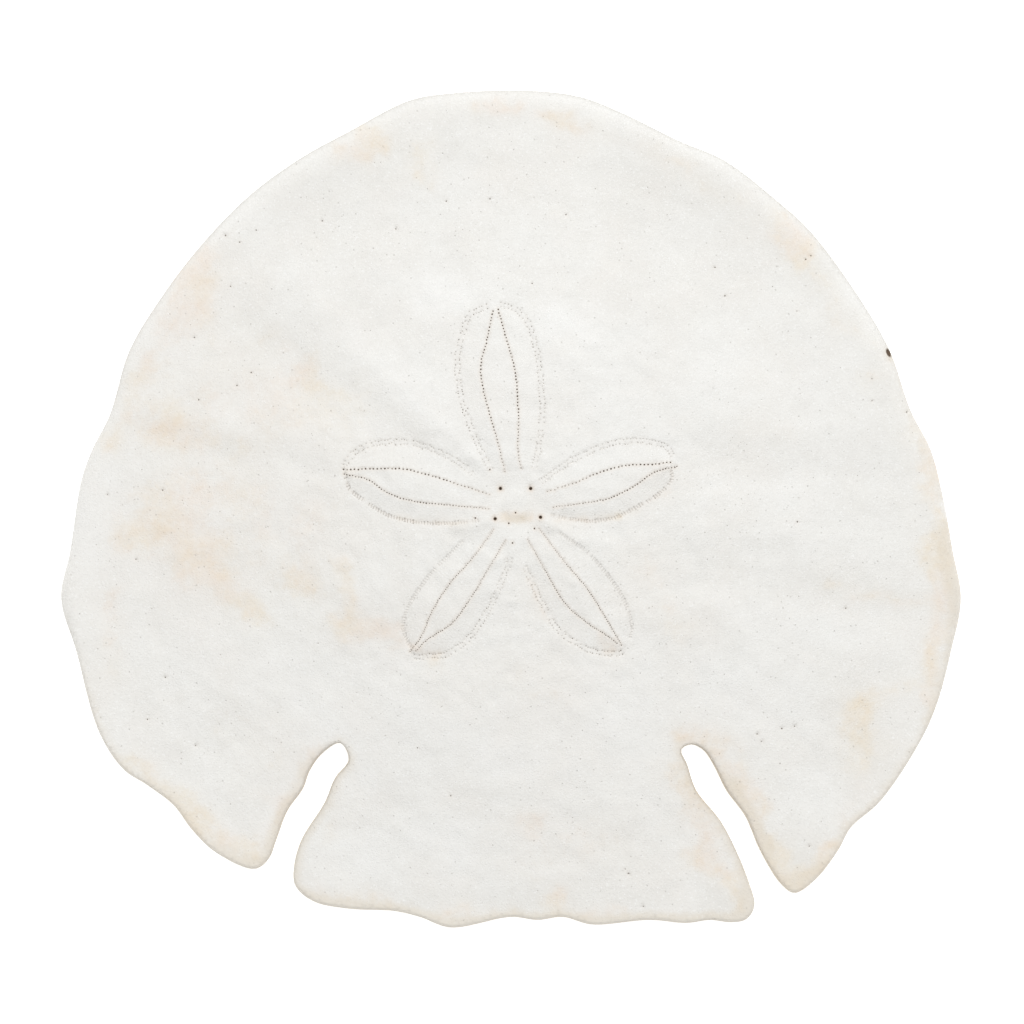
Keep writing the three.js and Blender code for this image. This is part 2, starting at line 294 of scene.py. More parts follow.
@dataclass
class Outline:
    """The test's edge seen from above: a wavy rim with two open notches at the rear."""

    front_and_right: tuple[Point, ...] = (
        (2.5, 55.8), (9.2, 55), (14.5, 53), (22.5, 49.1), (28.5, 46.5), (35.9, 40.8), (40.1, 36.9),
        (46.6, 28), (50.5, 21.2), (53.3, 13.2), (56, 7.9), (57.7, 1.2), (58.9, -5.5), (60, -11.9),
        (58.7, -18.8), (57, -25.3), (54.9, -30.3), (49.3, -38.8), (45.3, -42.4), (43.7, -45.3),
        (40.6, -49.3), (37.8, -51.1),
    )
    right_notch: tuple[Point, ...] = (
        (36, -49.9), (33.2, -45.4), (31.2, -40.8), (28.7, -37.4), (27.2, -34.4), (25.7, -32.1),
        (24, -31.3), (22.7, -32), (23.5, -33.9), (24.7, -37.3), (28, -41.5), (30, -45.3),
        (31.7, -49.5), (32.5, -52.8),
    )
    rear: tuple[Point, ...] = (
        (31.4, -54.6), (29.3, -55), (26.6, -54.7), (23.4, -55.1), (18.5, -54.7), (10.8, -55.3),
        (6.9, -54.3), (3.6, -54.7), (0, -54.3), (-8, -55.7), (-12.1, -54.3), (-15.5, -53.5),
        (-21.5, -53.2), (-26.3, -52.2), (-28.7, -50.1),
    )
    left_notch: tuple[Point, ...] = (
        (-28.9, -47.7), (-27.9, -44), (-24.8, -39), (-23.4, -35.7), (-21.6, -33.3),
        (-22.7, -31.1), (-25.2, -32.6), (-26.8, -34.9), (-27.6, -37.1), (-29.7, -40.1),
        (-31.2, -44), (-32.2, -46.5),
    )
    left: tuple[Point, ...] = (
        (-34.1, -47.9), (-39.4, -45.6), (-42.5, -42.6), (-44.9, -39.4), (-48.3, -36.8),
        (-51.7, -34.5), (-54.9, -29.5), (-57.9, -18.8), (-59.9, -11.8), (-58.7, -5.5), (-57.2, 3.9),
        (-55.8, 7.9), (-53.4, 12.7), (-50.8, 21.2), (-46.8, 27.9), (-41.7, 34.7), (-35.1, 41.6),
        (-28.2, 46.7), (-21.5, 50.4), (-13.5, 54.5), (-7.5, 55.5),
    )
    step: float = 0.5
    sample_step: float = 0.08
    true_share: float = 0.93
    crowd_share: float = 0.6
    edge: Points = field(init=False)
    search: Nearest = field(init=False)

    def __post_init__(self) -> None:
        """Fits the curve to the frame's box and readies the search for the nearest edge."""
        knots = self.front_and_right + self.right_notch + self.rear + self.left_notch + self.left
        curve = through(knots[::-1], closed=True)
        low, high = (np.array(corner[:2]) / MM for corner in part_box(NODE))
        scale = (high[0] - low[0]) / np.ptp(curve[:, 0])
        middle = (curve.max(axis=0) + curve.min(axis=0)) / 2
        curve = (curve - middle) * scale + (low + high) / 2
        self.edge = spaced(curve, self.step, closed=True)
        self.search = Nearest(spaced(curve, self.sample_step, closed=True))

    def distance(self, points: Points) -> np.ndarray:
        """How far points are from the edge."""
        return self.search.find(points)[0]

    def rings(self, insets: Sequence[float]) -> Points:
        """Rows of points that follow the edge on its inner side.

        Args:
            insets: how far in each row runs.

        Returns:
            The rows' points, left out where rows would crowd each other.
        """
        along = directions(self.edge, closed=True)
        inward = np.stack([-along[:, 1], along[:, 0]], axis=1)
        kept: list[Points] = []
        taken: set[Cell] = set()
        for inset in insets:
            row = self.edge + inset * inward
            free = self.distance(row) > self.true_share * inset
            if inset >= self.step:
                for index in np.flatnonzero(free):
                    cell = cell_of(*row[index], self.crowd_share * self.step)
                    free[index] = not is_crowded(cell, taken)
                    if free[index]:
                        taken.add(cell)
            kept.append(row[free])
        return np.vstack(kept)


@dataclass
class Dome:
    """The large shape of the upper surface: a low dome with a thin, round-nosed rim."""

    apex_height: float = 9.6
    rim_thickness: float = 2.9
    nose_height: float = 1.3
    front_nose_width: float = 3.4
    rear_nose_width: float = 0.3
    nose_change: tuple[float, float] = (-25.0, 15.0)
    quiet_edge: float = 9.0
    edge_share: float = 0.3
    half_width: float = 59.5
    half_length: float = 56.0
    power: float = 1.7
    apex: Point = (0.8, 0.5)
    lump_height: float = 0.15
    lump_size: float = 7.5
    crease_height: float = 0.085
    crease_size: float = 2.4
    crease_reach: float = 30.0
    ring_height: float = 0.12
    ring_gap: float = 3.2
    ray_height: float = 0.12
    ray_width: float = 4.5
    wrinkle_height: float = 0.09
    wrinkle_width: float = 2.0
    wrinkle_angle: float = -0.6
    wrinkle_start: float = 12.0
    swells: tuple[Streak, ...] = streaks(
        ((-9.5, 11), (-31, 31), 2.8, 0.36), ((-12, 7.5), (-36, 23.5), 3.0, -0.26),
        ((-24, 8.5), (-50, 13.5), 2.4, 0.26), ((-24, 2), (-50, -4), 3.2, 0.14),
        ((22, 11.5), (50, 11), 2.6, 0.14), ((23, 6.5), (50, 4), 2.8, -0.28),
        ((24, -1.5), (52, -5.5), 2.6, 0.18), ((18, -8), (57, -15), 3.0, -0.28),
        ((20, -16), (46, -26), 3.4, 0.16), ((-9, 25), (-8.5, 26), 4.5, 0.22),
        ((6.5, 22), (9, 21), 4.0, 0.2), ((14, 31), (21, 29), 5.0, 0.15), ((26, 15), (32, 14), 5.0, 0.2),
        ((-11, 30), (-13, 44), 4.0, 0.14), ((-16, -19), (-40, -34), 3.4, -0.16),
        ((17, -18), (40, -36), 3.4, -0.12), ((0, -22), (0, -46), 5.0, 0.1),
        ((-12, 19), (30, 19), 9.0, 0.14), ((-26, 39), (34, 35), 6.5, -0.2),
    )

    def height(self, points: Points, edge: np.ndarray) -> np.ndarray:
        """Height of the dome.

        Args:
            points: places seen from above.
            edge: their distances from the outline.

        Returns:
            The height at each place, without the fine relief.
        """
        share = (points - self.apex) / (self.half_width, self.half_length)
        out = np.hypot(share[:, 0], share[:, 1])
        rise = (self.apex_height - self.rim_thickness) * np.clip(1.0 - out * out, 0.0, None) ** self.power
        start, end = self.nose_change
        front = smooth((points[:, 1] - start) / (end - start))
        width = self.rear_nose_width + (self.front_nose_width - self.rear_nose_width) * front
        rounding = quarter_ellipse(edge, width)
        body = self.nose_height + (self.rim_thickness + rise - self.nose_height) * rounding
        uneven = sum(swell.at(points) for swell in self.swells)
        uneven = uneven + self.lump_height * fractal(points, self.lump_size, 3, 1.7)
        centre = smooth(1.5 - distance_from(ORIGIN, points) / self.crease_reach)
        uneven = uneven + self.crease_height * (1.0 + centre) * fractal(points, self.crease_size, 2, 3.3)
        uneven = uneven + self.grown_lines(points, out)
        loud = self.edge_share + (1.0 - self.edge_share) * smooth(edge / self.quiet_edge)
        return body + uneven * loud * rounding

    def grown_lines(self, points: Points, out: np.ndarray) -> np.ndarray:
        """Faint uneven rings along the rim, and rays that spread out beyond the petals.

        Args:
            points: places seen from above.
            out: their distances from the apex, as shares of the dome's reach.

        Returns:
            The height that they add.
        """
        angle = np.arctan2(points[:, 1] - self.apex[1], points[:, 0] - self.apex[0])
        around = angle * self.half_length
        radial = out * self.half_length
        seam = np.minimum(np.abs(angle + math.pi), np.abs(angle - math.pi))
        rings = drawn_out(radial, around, self.ring_gap, 5 * self.ring_gap, 9.4)
        rays = drawn_out(radial, around, 6 * self.ray_width, 2 * self.ray_width, 5.1)
        rings = self.ring_height * rings * smooth((out - 0.6) / 0.25)
        rays = self.ray_height * rays * smooth((out - 0.3) / 0.3) * smooth((1.05 - out) / 0.4)
        c, s = math.cos(self.wrinkle_angle), math.sin(self.wrinkle_angle)
        u, v = points[:, 0] * c + points[:, 1] * s, points[:, 1] * c - points[:, 0] * s
        wrinkles = drawn_out(u, v, 4 * self.wrinkle_width, self.wrinkle_width, 7.6)
        behind = smooth((-self.wrinkle_start - points[:, 1]) / self.wrinkle_start)
        wrinkles = self.wrinkle_height * wrinkles * behind
        return (rings + rays) * smooth(seam / 0.1) + wrinkles


# ---------------------------------------------------------------- pores and pits


class PitShape(Enum):
    """The kinds of small hollow in the surface."""

    ROUND = "round"
    SLIT = "slit"
    TWIN = "twin"
    PRICK = "prick"


LOOSENESS = {PitShape.ROUND: 0.025, PitShape.SLIT: 0.015, PitShape.TWIN: 0.05}
DEPTH = {PitShape.ROUND: 0.25, PitShape.SLIT: 0.1, PitShape.TWIN: 0.13}


@dataclass(frozen=True)
class Pit:
    """One small hollow: a pore, or a prick left by a lost spine or by wear."""

    x: float
    y: float
    half_length: float
    half_width: float
    angle: float
    depth: float
    shape: PitShape
    halo: float = 0.0
    # How dark the floor is painted, as the shade inside the hollow.
    floor_shade: float = 1.0
    collar: float = 0.07

    def ring(self, share: float, count: int) -> Points:
        """An ellipse of points around the pit's middle, a share of its size.

        Args:
            share: its size, as a share of the pit's.
            count: how many points it has.

        Returns:
            The points, seen from above.
        """
        turn = np.arange(count) * TURN / count
        u = share * self.half_length * np.cos(turn)
        v = share * self.half_width * np.sin(turn)
        c, s = math.cos(self.angle), math.sin(self.angle)
        return np.stack([self.x + u * c - v * s, self.y + u * s + v * c], axis=1)

    def points(self) -> tuple[Points, np.ndarray]:
        """The pit's own points.

        Returns:
            The points, and how deep each is as a share of the pit's depth.
        """
        if self.shape is PitShape.PRICK:
            collar = self.ring(1.0 + self.collar / self.half_width, 6)
            rim, floor, shares = np.vstack([collar, self.ring(1.0, 6)]), self.ring(0.0, 1), [1.0]
        elif self.shape is PitShape.SLIT:
            rim = self.ring(1.0, 8)
            c, s = math.cos(self.angle), math.sin(self.angle)
            reach = 0.6 * self.half_length * np.array([-1.0, 0.0, 1.0])
            floor = np.stack([self.x + reach * c, self.y + reach * s], axis=1)
            shares = [0.85, 1.0, 0.85]
        else:
            count = 6 if self.half_width < 0.2 else 10
            rim = self.ring(1.0, count)
            floor = np.vstack([self.ring(0.62, count), self.ring(0.0, 1)])
            shares = [0.8] * count + [1.0]
        depths = np.concatenate([np.zeros(len(rim)), shares])
        return np.vstack([rim, floor]), depths

    def covers(self, points: Points, margin: float) -> np.ndarray:
        """Which points lie in the pit or closer to it than the margin.

        Args:
            points: places seen from above.
            margin: how far around the pit still counts.

        Returns:
            True for each point covered.
        """
        c, s = math.cos(self.angle), math.sin(self.angle)
        dx, dy = points[:, 0] - self.x, points[:, 1] - self.y
        u = (dx * c + dy * s) / (self.half_length + margin)
        v = (dy * c - dx * s) / (self.half_width + margin)
        return u * u + v * v < 1.0


@dataclass(frozen=True)
class PoreRow:
    """A curved row of pores, from the petal's base to its tip."""

    knots: tuple[Point, ...]
    spacing: float
    shape: PitShape
    # How dark the row's outer pits are painted and, for slits, how strong their tint is; rows on the sides
    # that face away from the light get more, as painted shade.
    strength: float = 1.0
    base_stretch: float = 8.0
    gaps: float = 0.06
    most_radius: float = 0.118
    slit_length: float = 0.38
    slit_width: float = 0.055
    slant: float = 0.2
    twin_gap: float = 0.29
    twin_halo: float = 0.13

    def line(self, step: float = LINE_STEP) -> Points:
        """The row's middle line as closely spaced points."""
        return spaced(through(self.knots, closed=False), step, closed=False)

    def pits(self, draw: np.random.Generator) -> list[Pit]:
        """The row's pores, a little uneven in place and size.

        Args:
            draw: the source of the unevenness.

        Returns:
            One pit for each pore.
        """
        places = spaced(through(self.knots, closed=False), self.spacing, closed=False)
        along = directions(places, closed=False)
        made = []
        for number, ((x, y), (dx, dy)) in enumerate(zip(places, along)):
            loose, depth = LOOSENESS[self.shape], DEPTH[self.shape]
            x, y = x + draw.normal(0, loose), y + draw.normal(0, loose)
            size = draw.uniform(0.8, 1.2)
            if self.shape is not PitShape.ROUND and draw.random() < self.gaps:
                continue
            across = math.atan2(dx, -dy)
            grown = min(1.0, number * self.spacing / self.base_stretch)
            if self.shape is PitShape.ROUND:
                radius = min(self.most_radius, 0.26 * self.spacing) * size * (0.6 + 0.4 * grown)
                half = (radius * draw.uniform(1.0, 1.2), radius)
                turn = across + math.pi / 2
                made.append(Pit(x, y, *half, turn, depth, self.shape, 0.5, 0.45 + 0.5 * grown))
                continue
            floor_shade = self.strength * (0.25 + 0.75 * grown) * draw.uniform(0.55, 1.1)
            turn = across + self.slant + draw.normal(0, 0.06)
            if self.shape is PitShape.SLIT:
                half = (self.slit_length * size, self.slit_width)
                halo = 0.6 * self.strength
                made.append(Pit(x, y, *half, turn, depth, self.shape, halo, min(floor_shade, 1.0)))
                continue
            for side in (-1, 1):
                away = side * self.twin_gap * size
                slip = draw.normal(0, 0.08)
                radius = draw.uniform(0.06, 0.115)
                c, s = math.cos(turn), math.sin(turn)
                place = (x + away * c - slip * s, y + away * s + slip * c)
                shade = min(1.0, floor_shade * draw.uniform(0.35, 1.5))
                made.append(Pit(*place, radius, radius, turn, depth, PitShape.ROUND, self.twin_halo, shade))
        return made


@dataclass(frozen=True)
class Petal:
    """A petal: an inner and an outer row of pores on each side of a raised middle."""

    name: str
    inner: tuple[PoreRow, PoreRow]
    outer: tuple[PoreRow, PoreRow]

    def leaf(self, rows: tuple[PoreRow, PoreRow]) -> Points:
        """The closed leaf shape between two rows."""
        return np.vstack([rows[0].line(0.25), rows[1].line(0.25)[::-1]])


def rows(inner: Iterable[tuple], outer: Iterable[tuple]) -> dict[str, tuple[PoreRow, ...]]:
    """Both pairs of rows of a petal.

    Args:
        inner: spacing and knots of each row of round pores.
        outer: shape, spacing, strength and knots of each row of slits or twin pores.

    Returns:
        The rows under the names that a petal gives them.
    """
    return {
        "inner": tuple(PoreRow(knots, spacing, PitShape.ROUND) for spacing, knots in inner),
        "outer": tuple(PoreRow(knots, spacing, shape, strength) for shape, spacing, strength, knots in outer),
    }


PETALS = (
    Petal("front", **rows(
        inner=(
            (0.44, ((-0.8, 4.9), (-1.6, 8.3), (-2.8, 12.5), (-3.7, 15.9), (-4, 19.1), (-3.3, 21.9),
                (-2.4, 26.2))),
            (0.44, ((1.3, 5.4), (0.9, 8.2), (1, 11.5), (0.9, 14.2), (0.5, 18.4), (-0.7, 22.8),
                (-1.7, 26.4))),
        ),
        outer=(
            (PitShape.TWIN, 0.42, 0.72, ((-2.7, 5.1), (-4.7, 9.3), (-6.5, 14.4), (-7.1, 18.6), (-6.9, 21.4),
                (-6.3, 23.6), (-5.4, 25.7), (-3.3, 26.8))),
            (PitShape.TWIN, 0.42, 0.5, ((3.1, 5.6), (3.9, 9.8), (4.1, 14.3), (3.8, 18.4), (2.9, 22.9),
                (1.9, 25.1), (0.7, 26.4), (-1.2, 27))),
        ),
    )),
    Petal("left", **rows(
        inner=(
            (0.5, ((-2.8, 1.9), (-6.8, 3.2), (-10.9, 4.5), (-14.4, 5.3), (-18.4, 5.3), (-22.2, 5.2))),
            (0.39, ((-3, 0), (-8.2, 0.5), (-12.7, 1), (-16.1, 2), (-19, 3.9), (-22.1, 4.6))),
        ),
        outer=(
            (PitShape.TWIN, 0.42, 0.36, ((-4.7, 4.5), (-8.6, 7.1), (-13.2, 8.7), (-17, 8.8), (-20.1, 7.9),
                (-21.2, 7), (-22, 5.9))),
            (PitShape.SLIT, 0.37, 0.5, ((-4, -1.5), (-8.7, -1.9), (-12.7, -1.7), (-16.5, -0.7), (-20, 1.5),
                (-21.4, 2.7), (-21.9, 4.1))),
        ),
    )),
    Petal("right", **rows(
        inner=(
            (0.5, ((4.8, 2.3), (8.6, 3.5), (11.9, 4.9), (15.6, 5.8), (18.8, 5.9), (21.1, 6.2))),
            (0.39, ((5.6, 0.2), (9.1, 0.7), (13, 1.4), (16.3, 3), (19.1, 4.9), (22, 5.6))),
        ),
        outer=(
            (PitShape.TWIN, 0.42, 0.4, ((3.9, 3.5), (7.9, 6.3), (12.7, 8.5), (15.6, 9), (18.4, 8.9),
                (20.6, 8.2), (21.4, 7.1))),
            (PitShape.SLIT, 0.37, 0.45, ((5.3, -0.8), (9.8, -1.6), (13.5, -1.2), (16.3, 0.1), (19.3, 1.8),
                (21.3, 4), (21.2, 5))),
        ),
    )),
    Petal("rear left", **rows(
        inner=(
            (0.3, ((-2.3, -2.7), (-5, -6.4), (-8.2, -10), (-10.5, -13.7), (-11.9, -16.9), (-13.4, -18.9))),
            (0.3, ((-0.7, -4.1), (-3, -7.9), (-5.2, -11.6), (-7.9, -15.2), (-11.2, -17.4), (-12.6, -18.8))),
        ),
        outer=(
            (PitShape.SLIT, 0.37, 0.22, ((-6.4, -4.3), (-10.5, -8.4), (-13.3, -12.3), (-14.1, -14.2),
                (-14.3, -15.7), (-13.8, -17.3), (-13.3, -18.2))),
            (PitShape.TWIN, 0.38, 0.5, ((-0.2, -6.7), (-1.3, -9.8), (-3.2, -13.7), (-5.6, -17.1),
                (-8.4, -19.2), (-10.3, -19.5), (-12.9, -19.6))),
        ),
    )),
    Petal("rear right", **rows(
        inner=(
            (0.3, ((2.2, -4), (4.7, -8.5), (7.1, -12.4), (10.1, -15.1), (12.9, -16.9), (14, -17.8))),
            (0.3, ((3.7, -2.6), (7, -6.9), (10.1, -10.6), (12.4, -14.2), (14.6, -18))),
        ),
        outer=(
            (PitShape.TWIN, 0.38, 0.5, ((1.9, -7.8), (4, -12.3), (6.2, -15.9), (9.4, -18.2), (12.2, -19.1),
                (14.6, -19.1))),
            (PitShape.SLIT, 0.37, 0.24, ((6.5, -3.2), (9.9, -5.6), (12.9, -8.9), (15.2, -12.6), (16, -15.7),
                (15.8, -17))),
        ),
    )),
)


@dataclass
class Rosette:
    """The five petals around the apex, with their relief and pores."""

    petals: tuple[Petal, ...] = PETALS
    radius: float = 29.0
    centre: Point = (0.0, 2.5)
    rise: float = 0.34
    drop: float = 0.12
    lip: float = 0.8
    base_fade: tuple[float, float] = (3.0, 8.0)
    ridges: tuple[Streak, ...] = streaks(
        ((-2.1, 4.1), (-5.5, 7.2), 0.8, 0.28), ((-5.5, 7.2), (-9.5, 11.5), 1.0, 0.12),
        ((2.9, 3.9), (4.5, 6.5), 0.8, 0.28), ((4.5, 6.5), (8.5, 11), 1.0, 0.12),
        ((-2.5, -1.7), (-7.5, -2.5), 0.8, 0.28), ((-7.5, -2.5), (-13, -4.5), 1.0, 0.12),
        ((4.5, -1.7), (8.5, -4.1), 0.8, 0.28), ((8.5, -4.1), (13, -5), 1.0, 0.12),
        ((0.5, -4.8), (0.5, -12), 0.9, 0.24), ((0.5, -12), (0.8, -19), 1.2, 0.1),
    )
    pore_gap: float = 0.22
    knob_size: float = 1.3
    knob_height: float = 0.5

    def near(self, points: Points) -> np.ndarray:
        """Which points are close enough to the rosette to take its relief."""
        return distance_from(self.centre, points) < self.radius

    def relief(self, points: Points) -> dict[str, np.ndarray]:
        """Height and masks of the petals and of the ridges between them.

        Args:
            points: places seen from above, all near the rosette.

        Returns:
            The added height, the pore bands' mask and the pore number along the bands.
        """
        height = np.zeros(len(points))
        band = np.zeros(len(points))
        count = np.zeros(len(points))
        closest = np.full(len(points), np.inf)
        out = distance_from(ORIGIN, points)
        fade = smooth((out - self.base_fade[0]) / (self.base_fade[1] - self.base_fade[0]))
        for petal in self.petals:
            inner = Nearest(np.vstack([row.line() for row in petal.inner]))
            outer_lines = [row.line() for row in petal.outer]
            outer = Nearest(np.vstack(outer_lines))
            pairs = zip(outer_lines, petal.outer)
            numbers = np.concatenate([LINE_STEP * np.arange(len(line)) / row.spacing for line, row in pairs])
            in_leaf = is_inside(petal.leaf(petal.outer), points)
            in_middle = is_inside(petal.leaf(petal.inner), points)
            to_inner, _ = inner.find(points)
            to_outer, nearest = outer.find(points)
            share = np.where(in_middle, 0.0, to_inner / (to_inner + to_outer + 1e-9))
            slope = self.rise * (1.0 - share) - self.drop * share
            outside = -self.drop * np.clip(1.0 - to_outer / self.lip, 0.0, None) ** 2
            height += fade * np.where(in_leaf, slope, outside)
            band = np.where(in_leaf & ~in_middle, smooth(np.minimum(to_inner, to_outer) / 0.4), band)
            count = np.where(to_outer < closest, numbers[nearest], count)
            closest = np.minimum(closest, to_outer)
        knobs = 1.0 + self.knob_height * fractal(points, self.knob_size, 2, 4.2)
        height += knobs * sum(ridge.at(points) for ridge in self.ridges)
        return {"height": height, "band": band * fade, "pore_count": count}

    def pits(self, draw: np.random.Generator) -> list[Pit]:
        """The pores of every row of every petal, but for those that would run into another.

        Args:
            draw: the source of the unevenness.

        Returns:
            The pores that are kept.
        """
        kept: list[Pit] = []
        pore_rows = (row for petal in self.petals for row in petal.inner + petal.outer)
        for pit in (pit for row in pore_rows for pit in row.pits(draw)):
            if all(math.hypot(pit.x - other.x, pit.y - other.y) > self.pore_gap for other in kept):
                kept.append(pit)
        return kept


@dataclass
class ApicalDisc:
    """The plates at the apex: a low sieve plate between four gonopores."""

    centre: Point = (0.8, 0.6)
    gonopores: tuple[Point, ...] = ((-1.4, 2.7), (2.6, 2.7), (-2.1, -1.3), (3.9, -1.1))
    gonopore_radius: float = 0.27
    small_pores: tuple[Point, ...] = (
        (0.6, -0.5), (-0.3, -1.9), (3.1, -2.6), (0.2, -4.5), (-4.7, -1.2), (-2.8, 5.2),
    )
    plate_radius: float = 2.1
    plate_rise: float = 0.1
    plate_slope: float = 0.6
    grain_height: float = 0.05
    grain_size: float = 0.55
    hollow: float = 0.12

    def height(self, points: Points) -> np.ndarray:
        """The sieve plate's low rise, and the slight hollow around it.

        Args:
            points: places seen from above.

        Returns:
            The height that it adds.
        """
        out = distance_from(self.centre, points)
        on_plate = smooth((self.plate_radius - out) / self.plate_slope)
        ring = self.hollow * np.exp(-(((out - 1.25 * self.plate_radius) / 0.8) ** 2))
        grain = self.grain_height * fractal(points, self.grain_size, 2, 8.1) * on_plate
        return self.plate_rise * on_plate - ring + grain

    def pits(self) -> list[Pit]:
        """The gonopores and the few small pores around them.

        Returns:
            One pit for each pore.
        """
        r = self.gonopore_radius
        large = [Pit(x, y, r, r, 0.3, 0.7, PitShape.ROUND, 1.6) for x, y in self.gonopores]
        small = [Pit(x, y, 0.13, 0.13, 0.0, 0.25, PitShape.ROUND, 0.6) for x, y in self.small_pores]
        return large + small


@dataclass
class WornPits:
    """Pricks and chips left by lost spines and by wear, over the whole upper surface."""

    chips: tuple[Point, ...] = (
        (-49.9, -6.7), (-53.7, 1.9), (-46.3, 2.5), (-48.4, -28), (-42, -31.5), (-46, -22.4), (-38, 36.4),
        (-33.9, 37.1), (-36.1, 35.5), (-37.3, 29.6), (-42.1, 22.8), (-25.1, 38.3), (-15.3, 37.2),
        (-34.5, 18.1), (-36.4, 16.4), (-41.5, 14.5), (-2.8, 41.2), (2.8, 29.9), (7.3, 39.1), (38, 26.3),
        (39.9, 33.7), (39.2, 33.2), (27.1, 32.1), (28.4, 28.3), (48, 17.3), (48, 14.4), (52.7, 12.9),
        (38, -1.7), (44.5, -13.2), (37.7, -28.9), (36, -29.2), (39.7, -44.9), (32.7, -29.9), (33.3, -30.9),
        (17.6, -52.9), (15.2, -47.9), (15.6, -48.5), (-8, -38.1), (-12.4, -31.7), (-8.6, 40.9),
    )
    chip_radius: float = 0.115
    rim_scar: Point = (50.3, 20.8)
    scar_half_length: float = 0.75
    scar_half_width: float = 0.38
    scar_angle: float = -1.15
    count: int = 1100
    half_size: float = 60.0
    sector_share: float = 0.62
    sector_angles: tuple[float, ...] = (95, 172, 15, 233, 308)
    sector_spread: float = 13.0
    sector_reach: tuple[float, float] = (24.0, 50.0)
    least_radius: float = 0.055
    radius_range: float = 0.06
    gap: float = 0.45
    pore_gap: float = 0.15
    edge_gap: float = 1.2

    def pits(self, outline: Outline, pores: list[Pit], draw: np.random.Generator) -> list[Pit]:
        """All worn pits, clear of each other and of the pores.

        Args:
            outline: the edge, which the pricks stay inside.
            pores: the pores that are already there.
            draw: the source of their places and sizes.

        Returns:
            The chips, the rim's scar and the pricks.
        """
        made = [self.chip(x, y, draw) for x, y in self.chips]
        x, y = self.rim_scar
        size = (self.scar_half_length, self.scar_half_width, self.scar_angle)
        made.append(Pit(x, y, *size, 0.45, PitShape.ROUND, 0.5))
        spots = self.spots(draw)
        spots = spots[is_inside(outline.edge, spots)]
        spots = spots[outline.distance(spots) > self.edge_gap]
        kept = Nearest(np.array([(p.x, p.y) for p in pores + made]))
        spots = spots[kept.find(spots)[0] > self.gap + self.pore_gap]
        taken: set[Cell] = set()
        for x, y in spots:
            cell = cell_of(x, y, self.gap)
            if is_crowded(cell, taken):
                continue
            taken.add(cell)
            radius = self.least_radius + self.radius_range * draw.random() ** 3
            short, turn = radius * draw.uniform(0.7, 1.0), draw.uniform(0, math.pi)
            depth, floor_shade = 1.1 * radius, draw.uniform(0.4, 1.0)
            made.append(Pit(x, y, radius, short, turn, depth, PitShape.PRICK, 0.0, floor_shade))
        return made

    def chip(self, x: float, y: float, draw: np.random.Generator) -> Pit:
        """One of the larger, darker pits.

        Args:
            x: its place to the right.
            y: its place towards the front.
            draw: the source of its size and turn.

        Returns:
            The pit.
        """
        radius = self.chip_radius * draw.uniform(0.7, 1.2)
        turn = draw.uniform(0, math.pi)
        return Pit(x, y, radius, radius * draw.uniform(0.75, 1.0), turn, 0.2, PitShape.ROUND, 0.2, 0.75)

    def spots(self, draw: np.random.Generator) -> Points:
        """Candidate places for pricks: some anywhere, and more beyond the petals' tips.

        Args:
            draw: the source of the places.

        Returns:
            The places, seen from above.
        """
        few = int(self.count * (1 - self.sector_share))
        anywhere = draw.uniform(-self.half_size, self.half_size, (few, 2))
        many = int(self.count * self.sector_share)
        sector = np.radians(draw.choice(np.array(self.sector_angles, float), many))
        angle = sector + np.radians(draw.normal(0, self.sector_spread, many))
        reach = draw.uniform(*self.sector_reach, many)
        return np.vstack([anywhere, np.stack([reach * np.cos(angle), reach * np.sin(angle)], axis=1)])


# ---------------------------------------------------------------- colour marks


